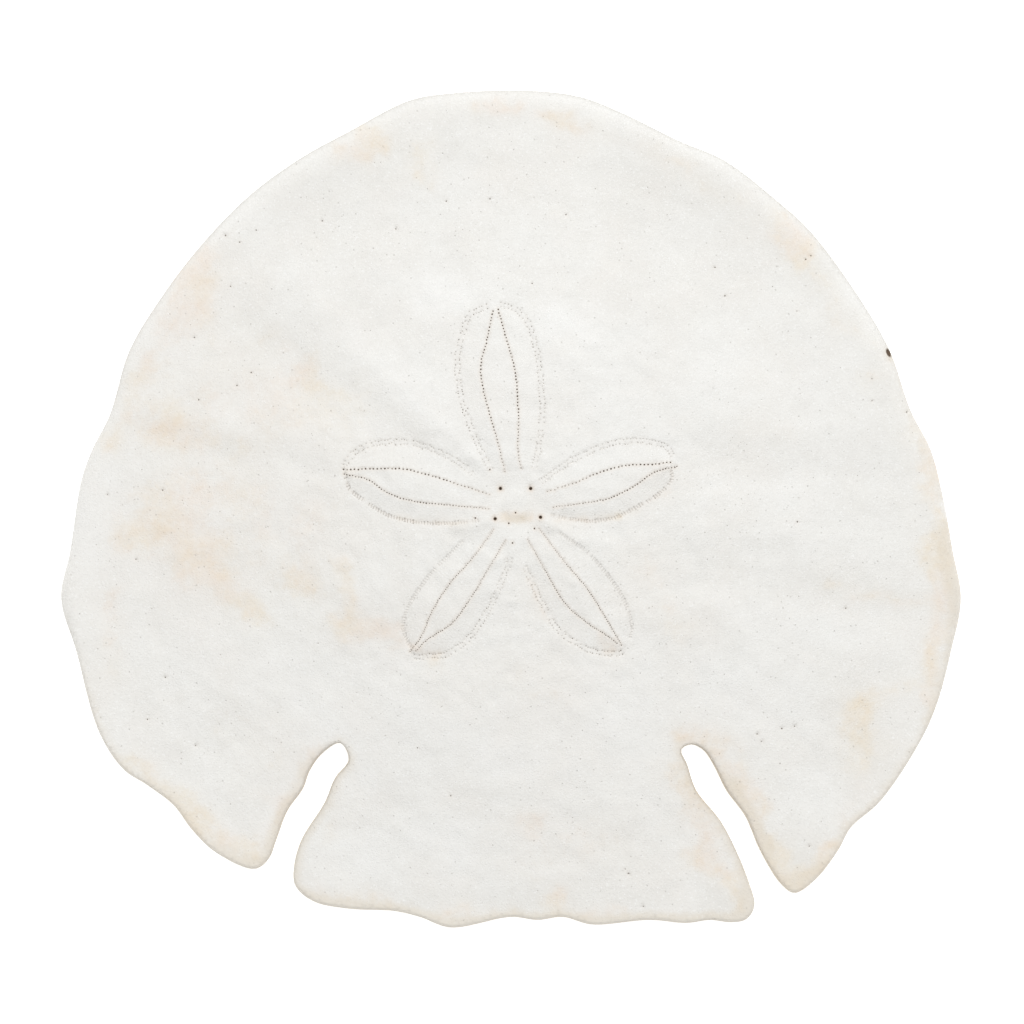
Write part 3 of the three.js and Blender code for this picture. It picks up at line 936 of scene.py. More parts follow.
@dataclass
class Stains:
    """Soft tan patches left by sand and drying, the tan tint along worn edges with painted shade at the rear
    rim, and lighter and darker patches that are partly painted light and shade.
    """

    patches: tuple[Streak, ...] = streaks(
        ((-19.8, 48.7), (-19, 48.5), 2.6, 1.6), ((-12.8, 48), (-12, 45.5), 1.5, 0.7),
        ((-12, 44.5), (-10.5, 42.5), 1.0, 0.6), ((-4.5, 53.2), (1, 53.6), 1.1, 0.75),
        ((4, 52.4), (11, 51.2), 1.2, 0.85), ((13, 50), (21, 46.3), 1.0, 0.4),
        ((22.3, 45.5), (23.5, 45), 1.2, 0.7), ((25, 44), (31, 41), 1.1, 0.35),
        ((36, 37), (38.3, 34.6), 2.6, 1.35), ((40.5, 32), (43, 28), 1.4, 0.4),
        ((43, 26), (48, 22), 1.5, 0.5), ((47.8, 17.8), (48.6, 17.2), 1.2, 0.75),
        ((50.6, 20), (54.6, 10), 1.2, 0.5), ((54.8, 9), (57.2, -2.5), 1.5, 0.9),
        ((56.5, -5), (57, -11), 2.1, 1.2), ((42.4, -10.2), (43.2, -10.2), 1.3, 0.7),
        ((45.5, -11.2), (55, -12.6), 1.3, 0.7), ((57.2, -13), (56, -25), 1.9, 0.95),
        ((54.5, -22.8), (49, -24.8), 1.7, 0.65), ((46.3, -26.5), (46.8, -32.5), 2.6, 1.0),
        ((46.5, -37), (44.5, -41.5), 1.4, 0.4), ((-41.8, 31.5), (-42.4, 26.5), 3.0, 0.95),
        ((-40.5, 33), (-49, 19), 1.6, 0.45), ((-49.5, 18), (-53, 8.5), 1.9, 0.75),
        ((-45, 22), (-38, 12), 7.0, 0.32), ((-32.4, 23), (-31.6, 23), 1.8, 0.5),
        ((-26.8, 18.7), (-26.9, 16.4), 1.6, 0.85), ((-29, 15), (-21, 12), 5.0, 0.5),
        ((-34.9, 8.8), (-34.7, 8.6), 1.5, 0.55), ((-46.3, 10.7), (-43.5, 9.6), 3.4, 1.05),
        ((-38, 1), (-28, -3), 6.0, 0.38), ((-51, -4.5), (-46.5, -1.5), 2.8, 0.9),
        ((-45.5, -1.5), (-42, -5.5), 4.4, 0.95), ((-41, -7.5), (-38.5, -9), 3.4, 0.95),
        ((-44, 3), (-41.5, 1.5), 2.2, 0.5), ((-37.5, -11), (-33.5, -13.8), 1.9, 0.75),
        ((-46, 24), (-40, -8), 13.0, 0.15), ((-30, 12), (-28, -10), 9.0, 0.12),
        ((-14, -22), (6, -26), 7.0, 0.1), ((-53, -11), (-53, -20.5), 2.0, 0.6),
        ((-27.4, -9.4), (-26.8, -10), 2.1, 0.85), ((-22.4, -6.5), (-21, -14.5), 1.6, 0.75),
        ((-23.3, -16), (-16, -16.9), 2.0, 0.95), ((-12.8, -18.2), (-10.5, -18.9), 1.1, 0.7),
        ((12, -17.6), (14, -18.2), 1.1, 0.8), ((18.5, -9), (23, -15.5), 3.5, 0.5),
        ((-8, -23), (7, -23.5), 5.0, 0.22), ((-34, -29.5), (-33, -31), 5.5, 0.42),
        ((2.4, -41.2), (2.8, -42.2), 1.9, 0.75), ((4, -46), (12, -44), 4.5, 0.4),
        ((22.4, -34), (26, -43.5), 2.6, 0.9), ((24.5, -45.5), (29.5, -49.5), 2.0, 0.85),
        ((29.6, -50.5), (30.7, -53), 1.2, 0.95), ((22.5, -30.3), (25.5, -30.6), 1.5, 0.8),
        ((27.5, -33.5), (36, -49.5), 2.6, 1.3), ((38.3, -49.3), (43, -45.5), 1.7, 0.95),
        ((33.5, 11), (36.5, 10), 2.2, 0.36), ((-25.5, -50.6), (-16, -52.8), 1.2, 0.7),
        ((-8.4, -54.2), (-5.6, -54), 1.2, 0.85), ((-2.5, -53.2), (0.5, -53.2), 1.0, 0.6),
        ((5.7, -52), (6.6, -53.5), 1.4, 0.95), ((10, -53.6), (15, -53.4), 1.0, 0.7),
        ((-25.8, -32.8), (-32.9, -45.5), 2.2, 0.7), ((-21.3, -33), (-24.5, -44), 1.2, 0.5),
        ((-33.5, -46.8), (-40.3, -42.6), 1.8, 0.8), ((-41, -41.8), (-49.8, -34), 1.9, 0.9),
        ((-0.8, -1.1), (2.4, -1.1), 1.0, 1.1), ((6, -1.5), (14, -1.2), 0.7, 0.6),
        ((14, -1.1), (20, 2), 0.8, 0.45), ((-6, -1.9), (-15, -1.5), 0.7, 0.5),
        ((2.5, -9.5), (4.5, -14.5), 0.7, 0.5),
    )
    # Brown stains, most of them along the rim; those along the rear rim also deepen its painted shade.
    soiled: tuple[Streak, ...] = streaks(
        ((57.6, -3), (58.6, -9), 1.7, 0.85), ((59, -11), (58.6, -15), 1.2, 0.7),
        ((53.5, 12), (57.2, 2), 1.2, 0.45), ((58.5, -17), (55.5, -28), 0.9, 0.35),
        ((50.3, 20.8), (50.5, 20.3), 0.9, 0.8), ((46.7, -29), (46.7, -30.5), 1.2, 0.35),
        ((30.4, -51.4), (30.9, -53.5), 1.3, 0.6), ((37.6, -50), (40.5, -48.5), 1.3, 0.7),
        ((-33.6, -46.9), (-38, -45.3), 1.0, 0.4), ((-26.5, -51.8), (-10, -54.3), 0.9, 0.35),
        ((-8, -55), (30, -54.6), 0.9, 0.4), ((29.2, -36.5), (34.2, -45.5), 1.2, 0.72),
        ((-27.9, -34), (-32.4, -44.5), 1.1, 0.2), ((-45, -3), (-41, -6), 1.6, 0.3),
        ((-19.8, 48.8), (-19.2, 48.7), 1.0, 0.4), ((-0.3, -1.2), (1.9, -1.2), 0.7, 0.75),
        ((7, -1.3), (17, -0.2), 0.6, 0.3), ((-7, -1.7), (-15, -1.2), 0.6, 0.25),
    )
    # Lighter patches: some are sun-bleached, others are painted highlights on the sides of ridges, furrows
    # and shoulders that face the light.
    bleached_and_lit: tuple[Streak, ...] = streaks(
        ((-11, 28.5), (-8, 28.5), 3.0, 0.7), ((5.5, 25), (9, 24), 3.0, 0.6), ((28, 19), (31, 17), 4.0, 0.3),
        ((-8, 14), (10, 16), 12.0, 0.25), ((-11, -43), (-8, -45), 3.5, 0.6),
        ((-23, -46), (-21, -47), 3.0, 0.5), ((-30, -24), (-24, -27), 4.5, 0.3),
        ((27, -21), (33, -26), 4.5, 0.4), ((-14, -26), (14, -27), 8.0, 0.36),
        ((-56, -4), (-56, 2), 5.0, 0.4), ((-38, -16), (-34, -20), 5.0, 0.25),
        ((-9, 11), (-22, 24), 1.6, 0.35), ((27, 2.5), (42, 1.5), 2.2, 0.3),
        ((24, -12), (48, -17), 2.2, 0.3), ((-3, -33.4), (3, -33.6), 3.0, 0.4),
        ((-26.5, -31.5), (-24, -30.5), 1.8, 0.5), ((-22, -31.5), (-20, -36), 2.5, 0.45),
        ((19, 9.5), (22.5, 7.5), 1.8, 0.4), ((-28.5, -36), (-32, -43), 1.5, 0.7),
    )
    # Darker patches: some are painted shade on the sides of ridges and furrows that face away from the light,
    # others are dusty patches.
    dulled_and_shaded: tuple[Streak, ...] = streaks(
        ((-28, 41), (-8, 49), 5.5, 0.4), ((17, 45.5), (40, 33), 5.5, 0.48),
        ((-12, 9.5), (-23, 19), 1.9, 0.18), ((-27, 22), (-37, 26.5), 3.0, 0.2),
        ((-32.3, 23), (-31.7, 22.7), 2.0, 0.5), ((-27, 18.8), (-26.7, 17), 1.5, 0.6),
        ((-50, 12), (-25, 6.5), 2.2, 0.25), ((26, 8.5), (36, 8), 2.0, 0.22),
        ((40, 9), (54, 7.5), 2.4, 0.25), ((20, -4.5), (36, -7), 2.2, 0.12),
        ((40, -10), (58, -12), 2.6, 0.3), ((16, 49), (30, 43.5), 1.3, 0.3), ((10, 46), (26, 41), 1.2, 0.2),
        ((45, -24), (47.5, -34), 4.0, 0.35), ((-28, -8), (-17, -17.5), 2.4, 0.4),
        ((-48, -1), (-38, -9), 4.5, 0.18), ((21, -14), (30, -19), 2.4, 0.35),
        ((-20, -25), (-2, -38), 1.6, 0.3), ((-13, -23), (6, -33), 1.5, 0.15),
        ((-24, -30), (-10, -42), 1.6, 0.3), ((33.5, -46.5), (39, -46.5), 3.2, 0.8),
        ((27, -51.5), (31, -54), 2.6, 0.7), ((-22, -51.5), (20, -52), 2.0, 0.4),
        ((-28.5, -50), (-25, -51.5), 2.2, 0.6), ((49.5, 17), (52, 13), 3.5, 0.4),
        ((44, 1.5), (50, 0), 2.6, 0.35), ((-21, 28.5), (-18, 26), 2.6, 0.4),
        ((16.5, 33), (17, 32), 3.0, 0.3), ((-8.5, 35.5), (-7.5, 32), 2.4, 0.35),
    )
    drift: float = 1.5
    drift_size: float = 4.0
    still_radius: float = 24.0
    edge_width: float = 1.3
    front_share: float = 0.1
    front_from: float = 2.0
    front_length: float = 30.0
    rear_from: float = 4.0
    # A painted highlight in a band inside the front rim, where the rounded rim faces the light.
    rear_length: float = 52.0
    highlight_inset: float = 0.75
    highlight_width: float = 0.55
    highlight_strength: float = 0.45
    line_width: float = 0.3
    line_strength: float = 2.4
    halo_reach: float = 0.34
    halo_least: float = 0.5
    halo_most: float = 1.2

    def tint(self, points: Points) -> np.ndarray:
        """How strongly the patches colour each place, from 0 to about 1.

        Args:
            points: places seen from above.

        Returns:
            The strength at each place.
        """
        moved = self.moved(points)
        clear = np.ones(len(points))
        for patch in self.patches:
            clear *= 1.0 - np.clip(patch.at(moved), 0.0, 0.95)
        return 1.0 - clear

    def bleach_and_highlight(self, points: Points, edge: np.ndarray) -> np.ndarray:
        """How far each place is whitened: sun-bleached patches, painted highlights on the sides of the relief
        that face the light, and most of all a painted highlight in a band inside the front rim.

        Args:
            points: places seen from above.
            edge: their distances from the outline.

        Returns:
            The strength at each place.
        """
        moved = self.moved(points)
        band = np.exp(-(((edge - self.highlight_inset) / self.highlight_width) ** 2))
        whitened = sum(patch.at(moved) for patch in self.bleached_and_lit)
        return self.highlight_strength * self.front(points) * band + whitened

    def dullness_and_shade(self, points: Points, edge: np.ndarray) -> np.ndarray:
        """How far each place is dulled: dusty patches, painted shade on the sides of the relief that face
        away from the light, and most of all a fine darker line along the front rim.

        Args:
            points: places seen from above.
            edge: their distances from the outline.

        Returns:
            The strength at each place.
        """
        moved = self.moved(points)
        line = np.exp(-((edge / self.line_width) ** 2))
        dusty = sum(patch.at(moved) for patch in self.dulled_and_shaded)
        return self.line_strength * self.front(points) * line + dusty

    def front(self, points: Points) -> np.ndarray:
        """1 at the front of the rim and 0 from the middle backwards."""
        return smooth((points[:, 1] - self.front_from) / self.front_length)

    def moved(self, points: Points) -> Points:
        """The points moved about a little, which gives the patches uneven outlines.

        Args:
            points: places seen from above.

        Returns:
            The moved points.
        """
        shift = np.column_stack([fractal(points, self.drift_size, 3, seed) for seed in (6.3, 11.9)])
        freedom = smooth(distance_from(ORIGIN, points) / self.still_radius)
        return points + self.drift * freedom[:, None] * shift

    def edge_stain_and_shade(self, points: Points, edge: np.ndarray) -> np.ndarray:
        """The brown tint of soiled places and along the rim, where it is strongest at the rear: tan stain,
        and painted shade on the rear rim, which faces away from the light.

        Args:
            points: places seen from above.
            edge: their distances from the outline.

        Returns:
            The strength at each place.
        """
        # Stronger towards the rear, partly as painted shade on the rim that faces away from the light.
        rear = smooth((self.rear_from - points[:, 1]) / self.rear_length)
        strength = self.front_share + (1 - self.front_share) * rear
        along = np.exp(-((edge / self.edge_width) ** 1.5)) * strength
        return along + sum(patch.at(points) for patch in self.soiled)

    def halo(self, points: Points, pits: list[Pit]) -> np.ndarray:
        """The rusty tint around pores.

        Args:
            points: places seen from above.
            pits: the pores and pits.

        Returns:
            The tint at each place.
        """
        ringed = [pit for pit in pits if pit.halo > 0]
        away, nearest = Nearest(np.array([(pit.x, pit.y) for pit in ringed])).find(points)
        strength = np.array([pit.halo for pit in ringed])[nearest]
        reach = self.halo_reach * np.sqrt(np.maximum(strength, self.halo_least))
        return np.minimum(strength, self.halo_most) * np.exp(-((away / reach) ** 2))


# ---------------------------------------------------------------- the underside


@dataclass
class Underside:
    """The flat lower surface: mouth, vent and branching food grooves."""

    outline: Outline
    nose_height: float = 1.3
    nose_width: float = 1.7
    dish_radius: float = 14.0
    dish_depth: float = 0.5
    mouth: Point = (0.5, 0.5)
    mouth_radius: float = 2.2
    mouth_depth: float = 2.5
    lip_width: float = 3.4
    lip_height: float = 0.16
    vent: Point = (0.0, -46.0)
    vent_radius: float = 1.2
    vent_depth: float = 1.5
    ray_angles: tuple[float, ...] = (90, 162, 18, 234, 306)
    fork_at: float = 8.5
    branch_turns: tuple[Point, ...] = ((8.5, 0), (13, 9), (20, 15.5), (29, 17), (38, 15), (47, 11.5))
    twig_starts: tuple[float, ...] = (17, 24, 31, 38)
    twig_length: float = 10.0
    groove_width: float = 0.42
    groove_depth: float = 0.24
    groove_rows: tuple[float, ...] = (-1.5, -0.75, 0, 0.75, 1.5)
    groove_gap: float = 0.24
    groove_fade: float = 0.55
    groove_reach: float = 48.0
    insets: tuple[float, ...] = (0.1, 0.25, 0.5, 0.9, 1.35, 1.9)
    edge_gap: float = 3.0
    step: float = 1.15

    def polar(self, radius: float, degrees: float) -> Point:
        """A place at a distance and direction from the mouth."""
        angle = math.radians(degrees)
        return self.mouth[0] + radius * math.cos(angle), self.mouth[1] + radius * math.sin(angle)

    def grooves(self) -> list[Points]:
        """Middle lines of the food grooves: five trunks, each forking in two with small twigs.

        Returns:
            The lines, cut off where they come too close to the edge or the vent.
        """
        lines = []
        for ray in self.ray_angles:
            trunk = [self.polar(r, ray) for r in (self.mouth_radius + 0.2, 5, self.fork_at)]
            lines.append(through(trunk, closed=False))
            for side in (-1, 1):
                branch = [self.polar(r, ray + side * turn) for r, turn in self.branch_turns]
                lines.append(through(branch, closed=False))
                for start in self.twig_starts:
                    turn = np.interp(start, *np.transpose(self.branch_turns))
                    first = self.polar(start, ray + side * turn)
                    middle = self.polar(start + 0.5 * self.twig_length, ray + side * (turn + 5))
                    last = self.polar(start + self.twig_length, ray + side * (turn + 15))
                    lines.append(through([first, middle, last], closed=False))
        return [spaced(self.kept(line), 0.7, closed=False) for line in lines if len(self.kept(line)) > 4]

    def kept(self, line: Points) -> Points:
        """The first stretch of a line that stays clear of the edge.

        Args:
            line: its points, in order.

        Returns:
            The points that are kept.
        """
        good = is_inside(self.outline.edge, line) & (self.outline.distance(line) > self.edge_gap)
        good &= distance_from(self.vent, line) > 3 * self.vent_radius
        stop = len(line) if good.all() else int(np.argmin(good))
        return line[:stop]

    def points(self, draw: np.random.Generator) -> Points:
        """Points of the lower surface inside the outline, closer together along the grooves.

        Args:
            draw: the source of the lattice's small moves.

        Returns:
            The points, seen from above.
        """
        lines = self.grooves()
        beside = []
        for line in lines:
            along = directions(line, closed=False)
            normal = np.stack([-along[:, 1], along[:, 0]], axis=1)
            beside += [line + offset * self.groove_width * normal for offset in self.groove_rows]
        grooves = thinned(np.vstack(beside), self.groove_gap)
        rings = self.outline.rings(self.insets)
        holes = np.vstack([self.hole(self.mouth, self.mouth_radius), self.hole(self.vent, self.vent_radius)])
        base = lattice(self.step, REACH, draw)
        base = base[is_inside(self.outline.edge, base)]
        base = base[self.outline.distance(base) > 2.4]
        base = base[Nearest(np.vstack([grooves, holes])).find(base)[0] > 0.6 * self.step]
        grooves = grooves[Nearest(holes).find(grooves)[0] > 0.25]
        return np.vstack([rings, holes, grooves, base])

    def hole(self, centre: Point, radius: float, count: int = 28) -> Points:
        """Rings of points that follow a round hole's lip, wall and floor.

        Args:
            centre: the hole's middle.
            radius: the hole's radius.
            count: points in each ring.

        Returns:
            All the rings' points.
        """
        shares = (1.6, 1.3, 1.12, 1.02, 0.94, 0.82, 0.6, 0.35)
        rings = []
        for number, share in enumerate(shares):
            turn = (np.arange(count) + 0.5 * (number % 2)) * TURN / count
            rings.append(np.stack([np.cos(turn), np.sin(turn)], axis=1) * radius * share)
        return np.vstack(rings) + np.array(centre)

    def shape(self, points: Points, edge: np.ndarray) -> dict[str, np.ndarray]:
        """Height and masks of the lower surface.

        Args:
            points: places seen from above.
            edge: their distances from the outline.

        Returns:
            The height, the grooves' mask and the painted shade inside the holes.
        """
        height = self.nose_height * (1.0 - quarter_ellipse(edge, self.nose_width))
        out = distance_from(self.mouth, points)
        height = height + self.dish_depth * (1.0 - np.clip(out / self.dish_radius, 0, 1) ** 2) ** 2
        height -= self.lip_height * np.exp(-(((out - self.lip_width) / 0.9) ** 2))
        away, _ = Nearest(np.vstack(self.grooves())).find(points)
        thin = 1.0 - self.groove_fade * np.clip(out / self.groove_reach, 0, 1)
        furrow = np.exp(-((away / self.groove_width) ** 2)) * thin
        height = height + self.groove_depth * furrow
        hole = np.zeros(len(points))
        openings = (
            (self.mouth, self.mouth_radius, self.mouth_depth),
            (self.vent, self.vent_radius, self.vent_depth),
        )
        for centre, radius, depth in openings:
            share = distance_from(centre, points) / radius
            inside = smooth((1.05 - share) / 0.4)
            height = height + inside * (depth - height)
            hole = np.maximum(hole, inside)
        return {"height": height, "furrow": furrow, "hole": hole}


def thinned(points: Points, gap: float) -> Points:
    """The points that keep at least about the given gap from those before them.

    Args:
        points: those to choose from.
        gap: the side of a square that holds one point.

    Returns:
        The points that are kept, in order.
    """
    taken: set[Cell] = set()
    kept = []
    for x, y in points:
        cell = cell_of(x, y, gap)
        if cell not in taken:
            taken.add(cell)
            kept.append((x, y))
    return np.array(kept)


# ---------------------------------------------------------------- shader building


class Value:
    """A shader socket that takes part in Python expressions. Each operation adds a Math node."""

    def __init__(self, graph: "Graph", socket: Any) -> None:
        """Wraps an output socket of the graph."""
        self.graph = graph
        self.socket = socket

    def __add__(self, other: "Value | float") -> "Value":
        """The sum."""
        return self.graph.maths("ADD", self, other)

    __radd__ = __add__

    def __sub__(self, other: "Value | float") -> "Value":
        """The difference."""
        return self.graph.maths("SUBTRACT", self, other)

    def __rsub__(self, other: "Value | float") -> "Value":
        """The difference, from a plain number."""
        return self.graph.maths("SUBTRACT", other, self)

    def __mul__(self, other: "Value | float") -> "Value":
        """The product."""
        return self.graph.maths("MULTIPLY", self, other)

    __rmul__ = __mul__

    def step(self, low: float, high: float) -> "Value":
        """A soft step from 0 at low to 1 at high."""
        inputs = {"Value": self, "From Min": low, "From Max": high}
        return self.graph.node("ShaderNodeMapRange", {"interpolation_type": "SMOOTHSTEP"}, inputs)

    def limited(self) -> "Value":
        """The value kept between 0 and 1."""
        return self.graph.node("ShaderNodeClamp", {}, {"Value": self})


class Graph:
    """A material's node tree, filled by method calls."""

    def __init__(self, name: str) -> None:
        """Starts an empty material of that name.

        Args:
            name: the material's name.
        """
        self.material = bpy.data.materials.new(name)
        self.material.use_nodes = True
        self.tree = self.material.node_tree
        self.tree.nodes.clear()

    def node(self, kind: str, settings: dict[str, Any], inputs: dict[str, Any], output: str = "") -> Value:
        """Adds a node.

        Args:
            kind: the node's type.
            settings: its properties, which are set first.
            inputs: numbers, colours or wrapped sockets for its inputs, by name or identifier.
            output: the wanted output, or nothing for the first that is in use.

        Returns:
            The wrapped output.
        """
        made = self.tree.nodes.new(kind)
        for key, value in settings.items():
            setattr(made, key, value)
        for key, value in inputs.items():
            socket = self.socket(made.inputs, key)
            if isinstance(value, Value):
                self.tree.links.new(value.socket, socket)
            else:
                socket.default_value = value
        if output:
            return Value(self, self.socket(made.outputs, output))
        shown = [socket for socket in made.outputs if socket.enabled]
        return Value(self, shown[0] if shown else None)

    @staticmethod
    def socket(sockets: Any, key: str) -> Any:
        """The socket with that identifier, or else with that name.

        Args:
            sockets: the node's inputs or outputs.
            key: the identifier or name.

        Returns:
            The socket.
        """
        for socket in sockets:
            if socket.identifier == key:
                return socket
        return next(socket for socket in sockets if socket.name == key and socket.enabled)

    def maths(self, operation: str, first: Value | float, second: Value | float) -> Value:
        """A Math node on two values."""
        return self.node("ShaderNodeMath", {"operation": operation}, {"Value": first, "Value_001": second})

    def blend(self, share: Value | float, first: Any, second: Any) -> Value:
        """A colour between two, by a share."""
        inputs = {"Factor_Float": share, "A_Color": first, "B_Color": second}
        return self.node("ShaderNodeMix", {"data_type": "RGBA"}, inputs, "Result_Color")

    def place(self) -> Value:
        """The place on the object, in metres."""
        return self.node("ShaderNodeTexCoord", {}, {}, "Object")

    def mark(self, name: str) -> Value:
        """A number stored on the mesh's points."""
        return self.node("ShaderNodeAttribute", {"attribute_name": name}, {}, "Fac")

    def noise(self, where: Value, per_mm: float, detail: float, roughness: float = 0.5) -> Value:
        """Soft random values around 0.5."""
        inputs = {"Vector": where, "Scale": per_mm, "Detail": detail, "Roughness": roughness}
        return self.node("ShaderNodeTexNoise", {}, inputs, "Fac")

    def cells(self, where: Value, per_mm: float, randomness: float) -> Value:
        """Distance to the nearest of many scattered points, in cells."""
        inputs = {"Vector": where, "Scale": per_mm, "Randomness": randomness}
        return self.node("ShaderNodeTexVoronoi", {}, inputs, "Distance")

    def finished(self, surface: dict[str, Any]) -> bpy.types.Material:
        """The material, once its surface has been given these inputs.

        Args:
            surface: numbers, colours or wrapped sockets, by the names of the inputs.

        Returns:
            The material.
        """
        shader = self.node("ShaderNodeBsdfPrincipled", {}, surface)
        self.node("ShaderNodeOutputMaterial", {}, {"Surface": shader})
        return self.material


def colour(red: float, green: float, blue: float) -> tuple[float, float, float, float]:
    """An opaque colour."""
    return red, green, blue, 1.0


@dataclass(frozen=True)
class BleachedCalcite:
    """Sun-bleached calcite: chalky, finely grained, with tan stains, dark pores whose darkness is painted
    shade, and painted light and shade on the relief and rims.
    """

    clean: tuple = colour(0.79, 0.784, 0.758)
    warm: tuple = colour(0.778, 0.762, 0.728)
    dusty: tuple = colour(0.747, 0.737, 0.707)
    white: tuple = colour(0.845, 0.845, 0.83)
    # Dull grey for dusty patches and for painted shade on the relief.
    dull_and_shade: tuple = colour(0.66, 0.648, 0.615)
    stain: tuple = colour(0.765, 0.69, 0.575)
    blush: tuple = colour(0.775, 0.69, 0.612)
    ochre: tuple = colour(0.73, 0.6, 0.44)
    # Rim tint: tan stain, and painted shade at the rear rim.
    edge: tuple = colour(0.685, 0.618, 0.515)
    rust: tuple = colour(0.66, 0.5, 0.36)
    speck_brown: tuple = colour(0.52, 0.49, 0.44)
    # Painted shade: the dark floors of pores, pits, mouth and vent.
    pore: tuple = colour(0.11, 0.075, 0.05)
    roughness: float = 0.86
    grain_per_mm: float = 3.4
    specks_per_mm: float = 1.3
    grain_height: float = 0.026
    mottle_height: float = 0.07
    line_height: float = 0.004

    def material(self) -> bpy.types.Material:
        """Builds the material.

        Returns:
            The material, with all its detail worked out from places and from marks on the mesh.
        """
        g = Graph("bleached_calcite")
        millimetres = {"Vector": g.place(), "Scale": 1 / MM}
        where = g.node("ShaderNodeVectorMath", {"operation": "SCALE"}, millimetres)
        cloud = g.noise(where, 0.11, 4, 0.55)
        mottle = g.noise(where, 0.8, 5, 0.6)
        grain = g.noise(where, 2.4, 4, 0.6)
        base = g.blend(cloud.step(0.35, 0.7), self.clean, self.warm)
        base = g.blend(mottle.step(0.45, 0.8) * 0.6, base, self.dusty)
        base = g.blend(g.noise(where, 0.3, 3).step(0.45, 0.75) * 0.5, base, self.dusty)
        # Bleaching, with painted highlights on the relief and inside the front rim.
        base = g.blend((g.mark("bleach_and_highlight") * (mottle + 0.5)).limited() * 0.7, base, self.white)
        # Dusty patches, with painted shade on the sides of the relief that face away from the light.
        base = g.blend((g.mark("dull_and_shade") * (mottle + 0.5) * 0.46).limited(), base, self.dull_and_shade)
        blotch = g.noise(where, 0.22, 7, 0.68)
        stain = g.mark("stain")
        tan = g.blend(g.noise(where, 0.09, 3).step(0.36, 0.64), self.stain, self.blush)
        base = g.blend((stain * (mottle + 0.3)).limited() * 0.3, base, tan)
        patchy = stain * 1.15 + (blotch - 0.5) * 1.9 + (mottle - 0.5) * 0.9
        base = g.blend(patchy.step(0.4, 1.5) * 0.75, base, tan)
        base = g.blend(patchy.step(1.0, 1.9) * 0.42, base, self.ochre)
        # Rim tint: tan stain along the edges, with painted shade at the rear rim.
        rim = (g.mark("edge") + (mottle - 0.5) * 0.6).step(0.15, 1.0)
        base = g.blend(rim * 0.56, base, self.edge)
        base = g.blend((g.mark("furrow") * (0.5 + mottle)).step(0.2, 1.1) * 0.55, base, self.stain)
        specks = self.specks(g, where)
        base = g.blend(specks * 0.46, base, self.speck_brown)
        base = g.blend(grain.step(0.3, 0.75) * 0.08, base, self.speck_brown)
        bare = 1 - (stain * 0.7 + rim * 0.6).limited()
        base = g.blend(g.noise(where, 3.6, 2).step(0.595, 0.7) * bare * 0.7, base, self.white)
        base = g.blend((g.mark("halo") * 0.4).limited(), base, self.rust)
        # Painted shade darkens the floors of pores, pits, mouth and vent.
        base = g.blend((g.mark("pore")).limited(), base, self.pore)
        bumps = 1 - g.cells(where, self.grain_per_mm, 0.85).step(0.1, 0.62)
        lines = g.node("ShaderNodeMath", {"operation": "SINE"}, {"Value": g.mark("pore_count") * TURN})
        height = bumps * self.grain_height + grain * (1.6 * self.grain_height) + mottle * self.mottle_height
        height = height + lines * g.mark("band") * self.line_height
        height = height - specks * (2 * self.grain_height)
        normal = g.node("ShaderNodeBump", {}, {"Height": height, "Distance": MM, "Strength": 1.0})
        surface = {
            "Base Color": base,
            "Roughness": self.roughness + (mottle - 0.5) * 0.12,
            "Specular IOR Level": 0.25,
            "Normal": normal,
        }
        return g.finished(surface)

    def specks(self, g: Graph, where: Value) -> Value:
        """Scattered small dark dents in the finest pricks, thicker in some areas.

        Args:
            g: the graph to build in.
            where: the place in millimetres.

        Returns:
            1 in the middle of a speck and 0 away from them.
        """
        pattern = {"Vector": where, "Scale": self.specks_per_mm, "Randomness": 1.0}
        chance = g.node("ShaderNodeTexVoronoi", {}, pattern, "Color")
        near = 1 - g.cells(where, self.specks_per_mm, 1.0).step(0.05, 0.17)
        crowd = g.noise(where, 0.06, 3).step(0.35, 0.65) * 0.16
        return near * (chance + crowd).step(0.68, 0.8)


@dataclass(frozen=True)
class PaleFloor:
    """A smooth white tabletop, lit a little from within so that it stays white."""

    paint: tuple = colour(0.93, 0.93, 0.93)
    glow: float = 0.6

    def material(self) -> bpy.types.Material:
        """Builds the material, with a faint unevenness in the paint.

        Returns:
            The material.
        """
        g = Graph("pale_floor")
        cloud = g.noise(g.place(), 9.0, 2)
        paint = g.blend(cloud * 0.2, self.paint, colour(0.9, 0.9, 0.9))
        surface = {
            "Base Color": paint,
            "Roughness": 0.7,
            "Emission Color": self.paint,
            "Emission Strength": self.glow,
        }
        return g.finished(surface)


# ---------------------------------------------------------------- the whole test


def blank(names: Iterable[str], count: int) -> dict[str, np.ndarray]:
    """Marks of those names that are 0 everywhere."""
    return {name: np.zeros(count) for name in names}


def placed(name: str, data: Any) -> bpy.types.Object:
    """A new object in the scene, at the origin, that shows this mesh, light or camera.

    Args:
        name: the object's name.
        data: what it shows.

    Returns:
        The object.
    """
    made = bpy.data.objects.new(name, data)
    bpy.context.scene.collection.objects.link(made)
    return made


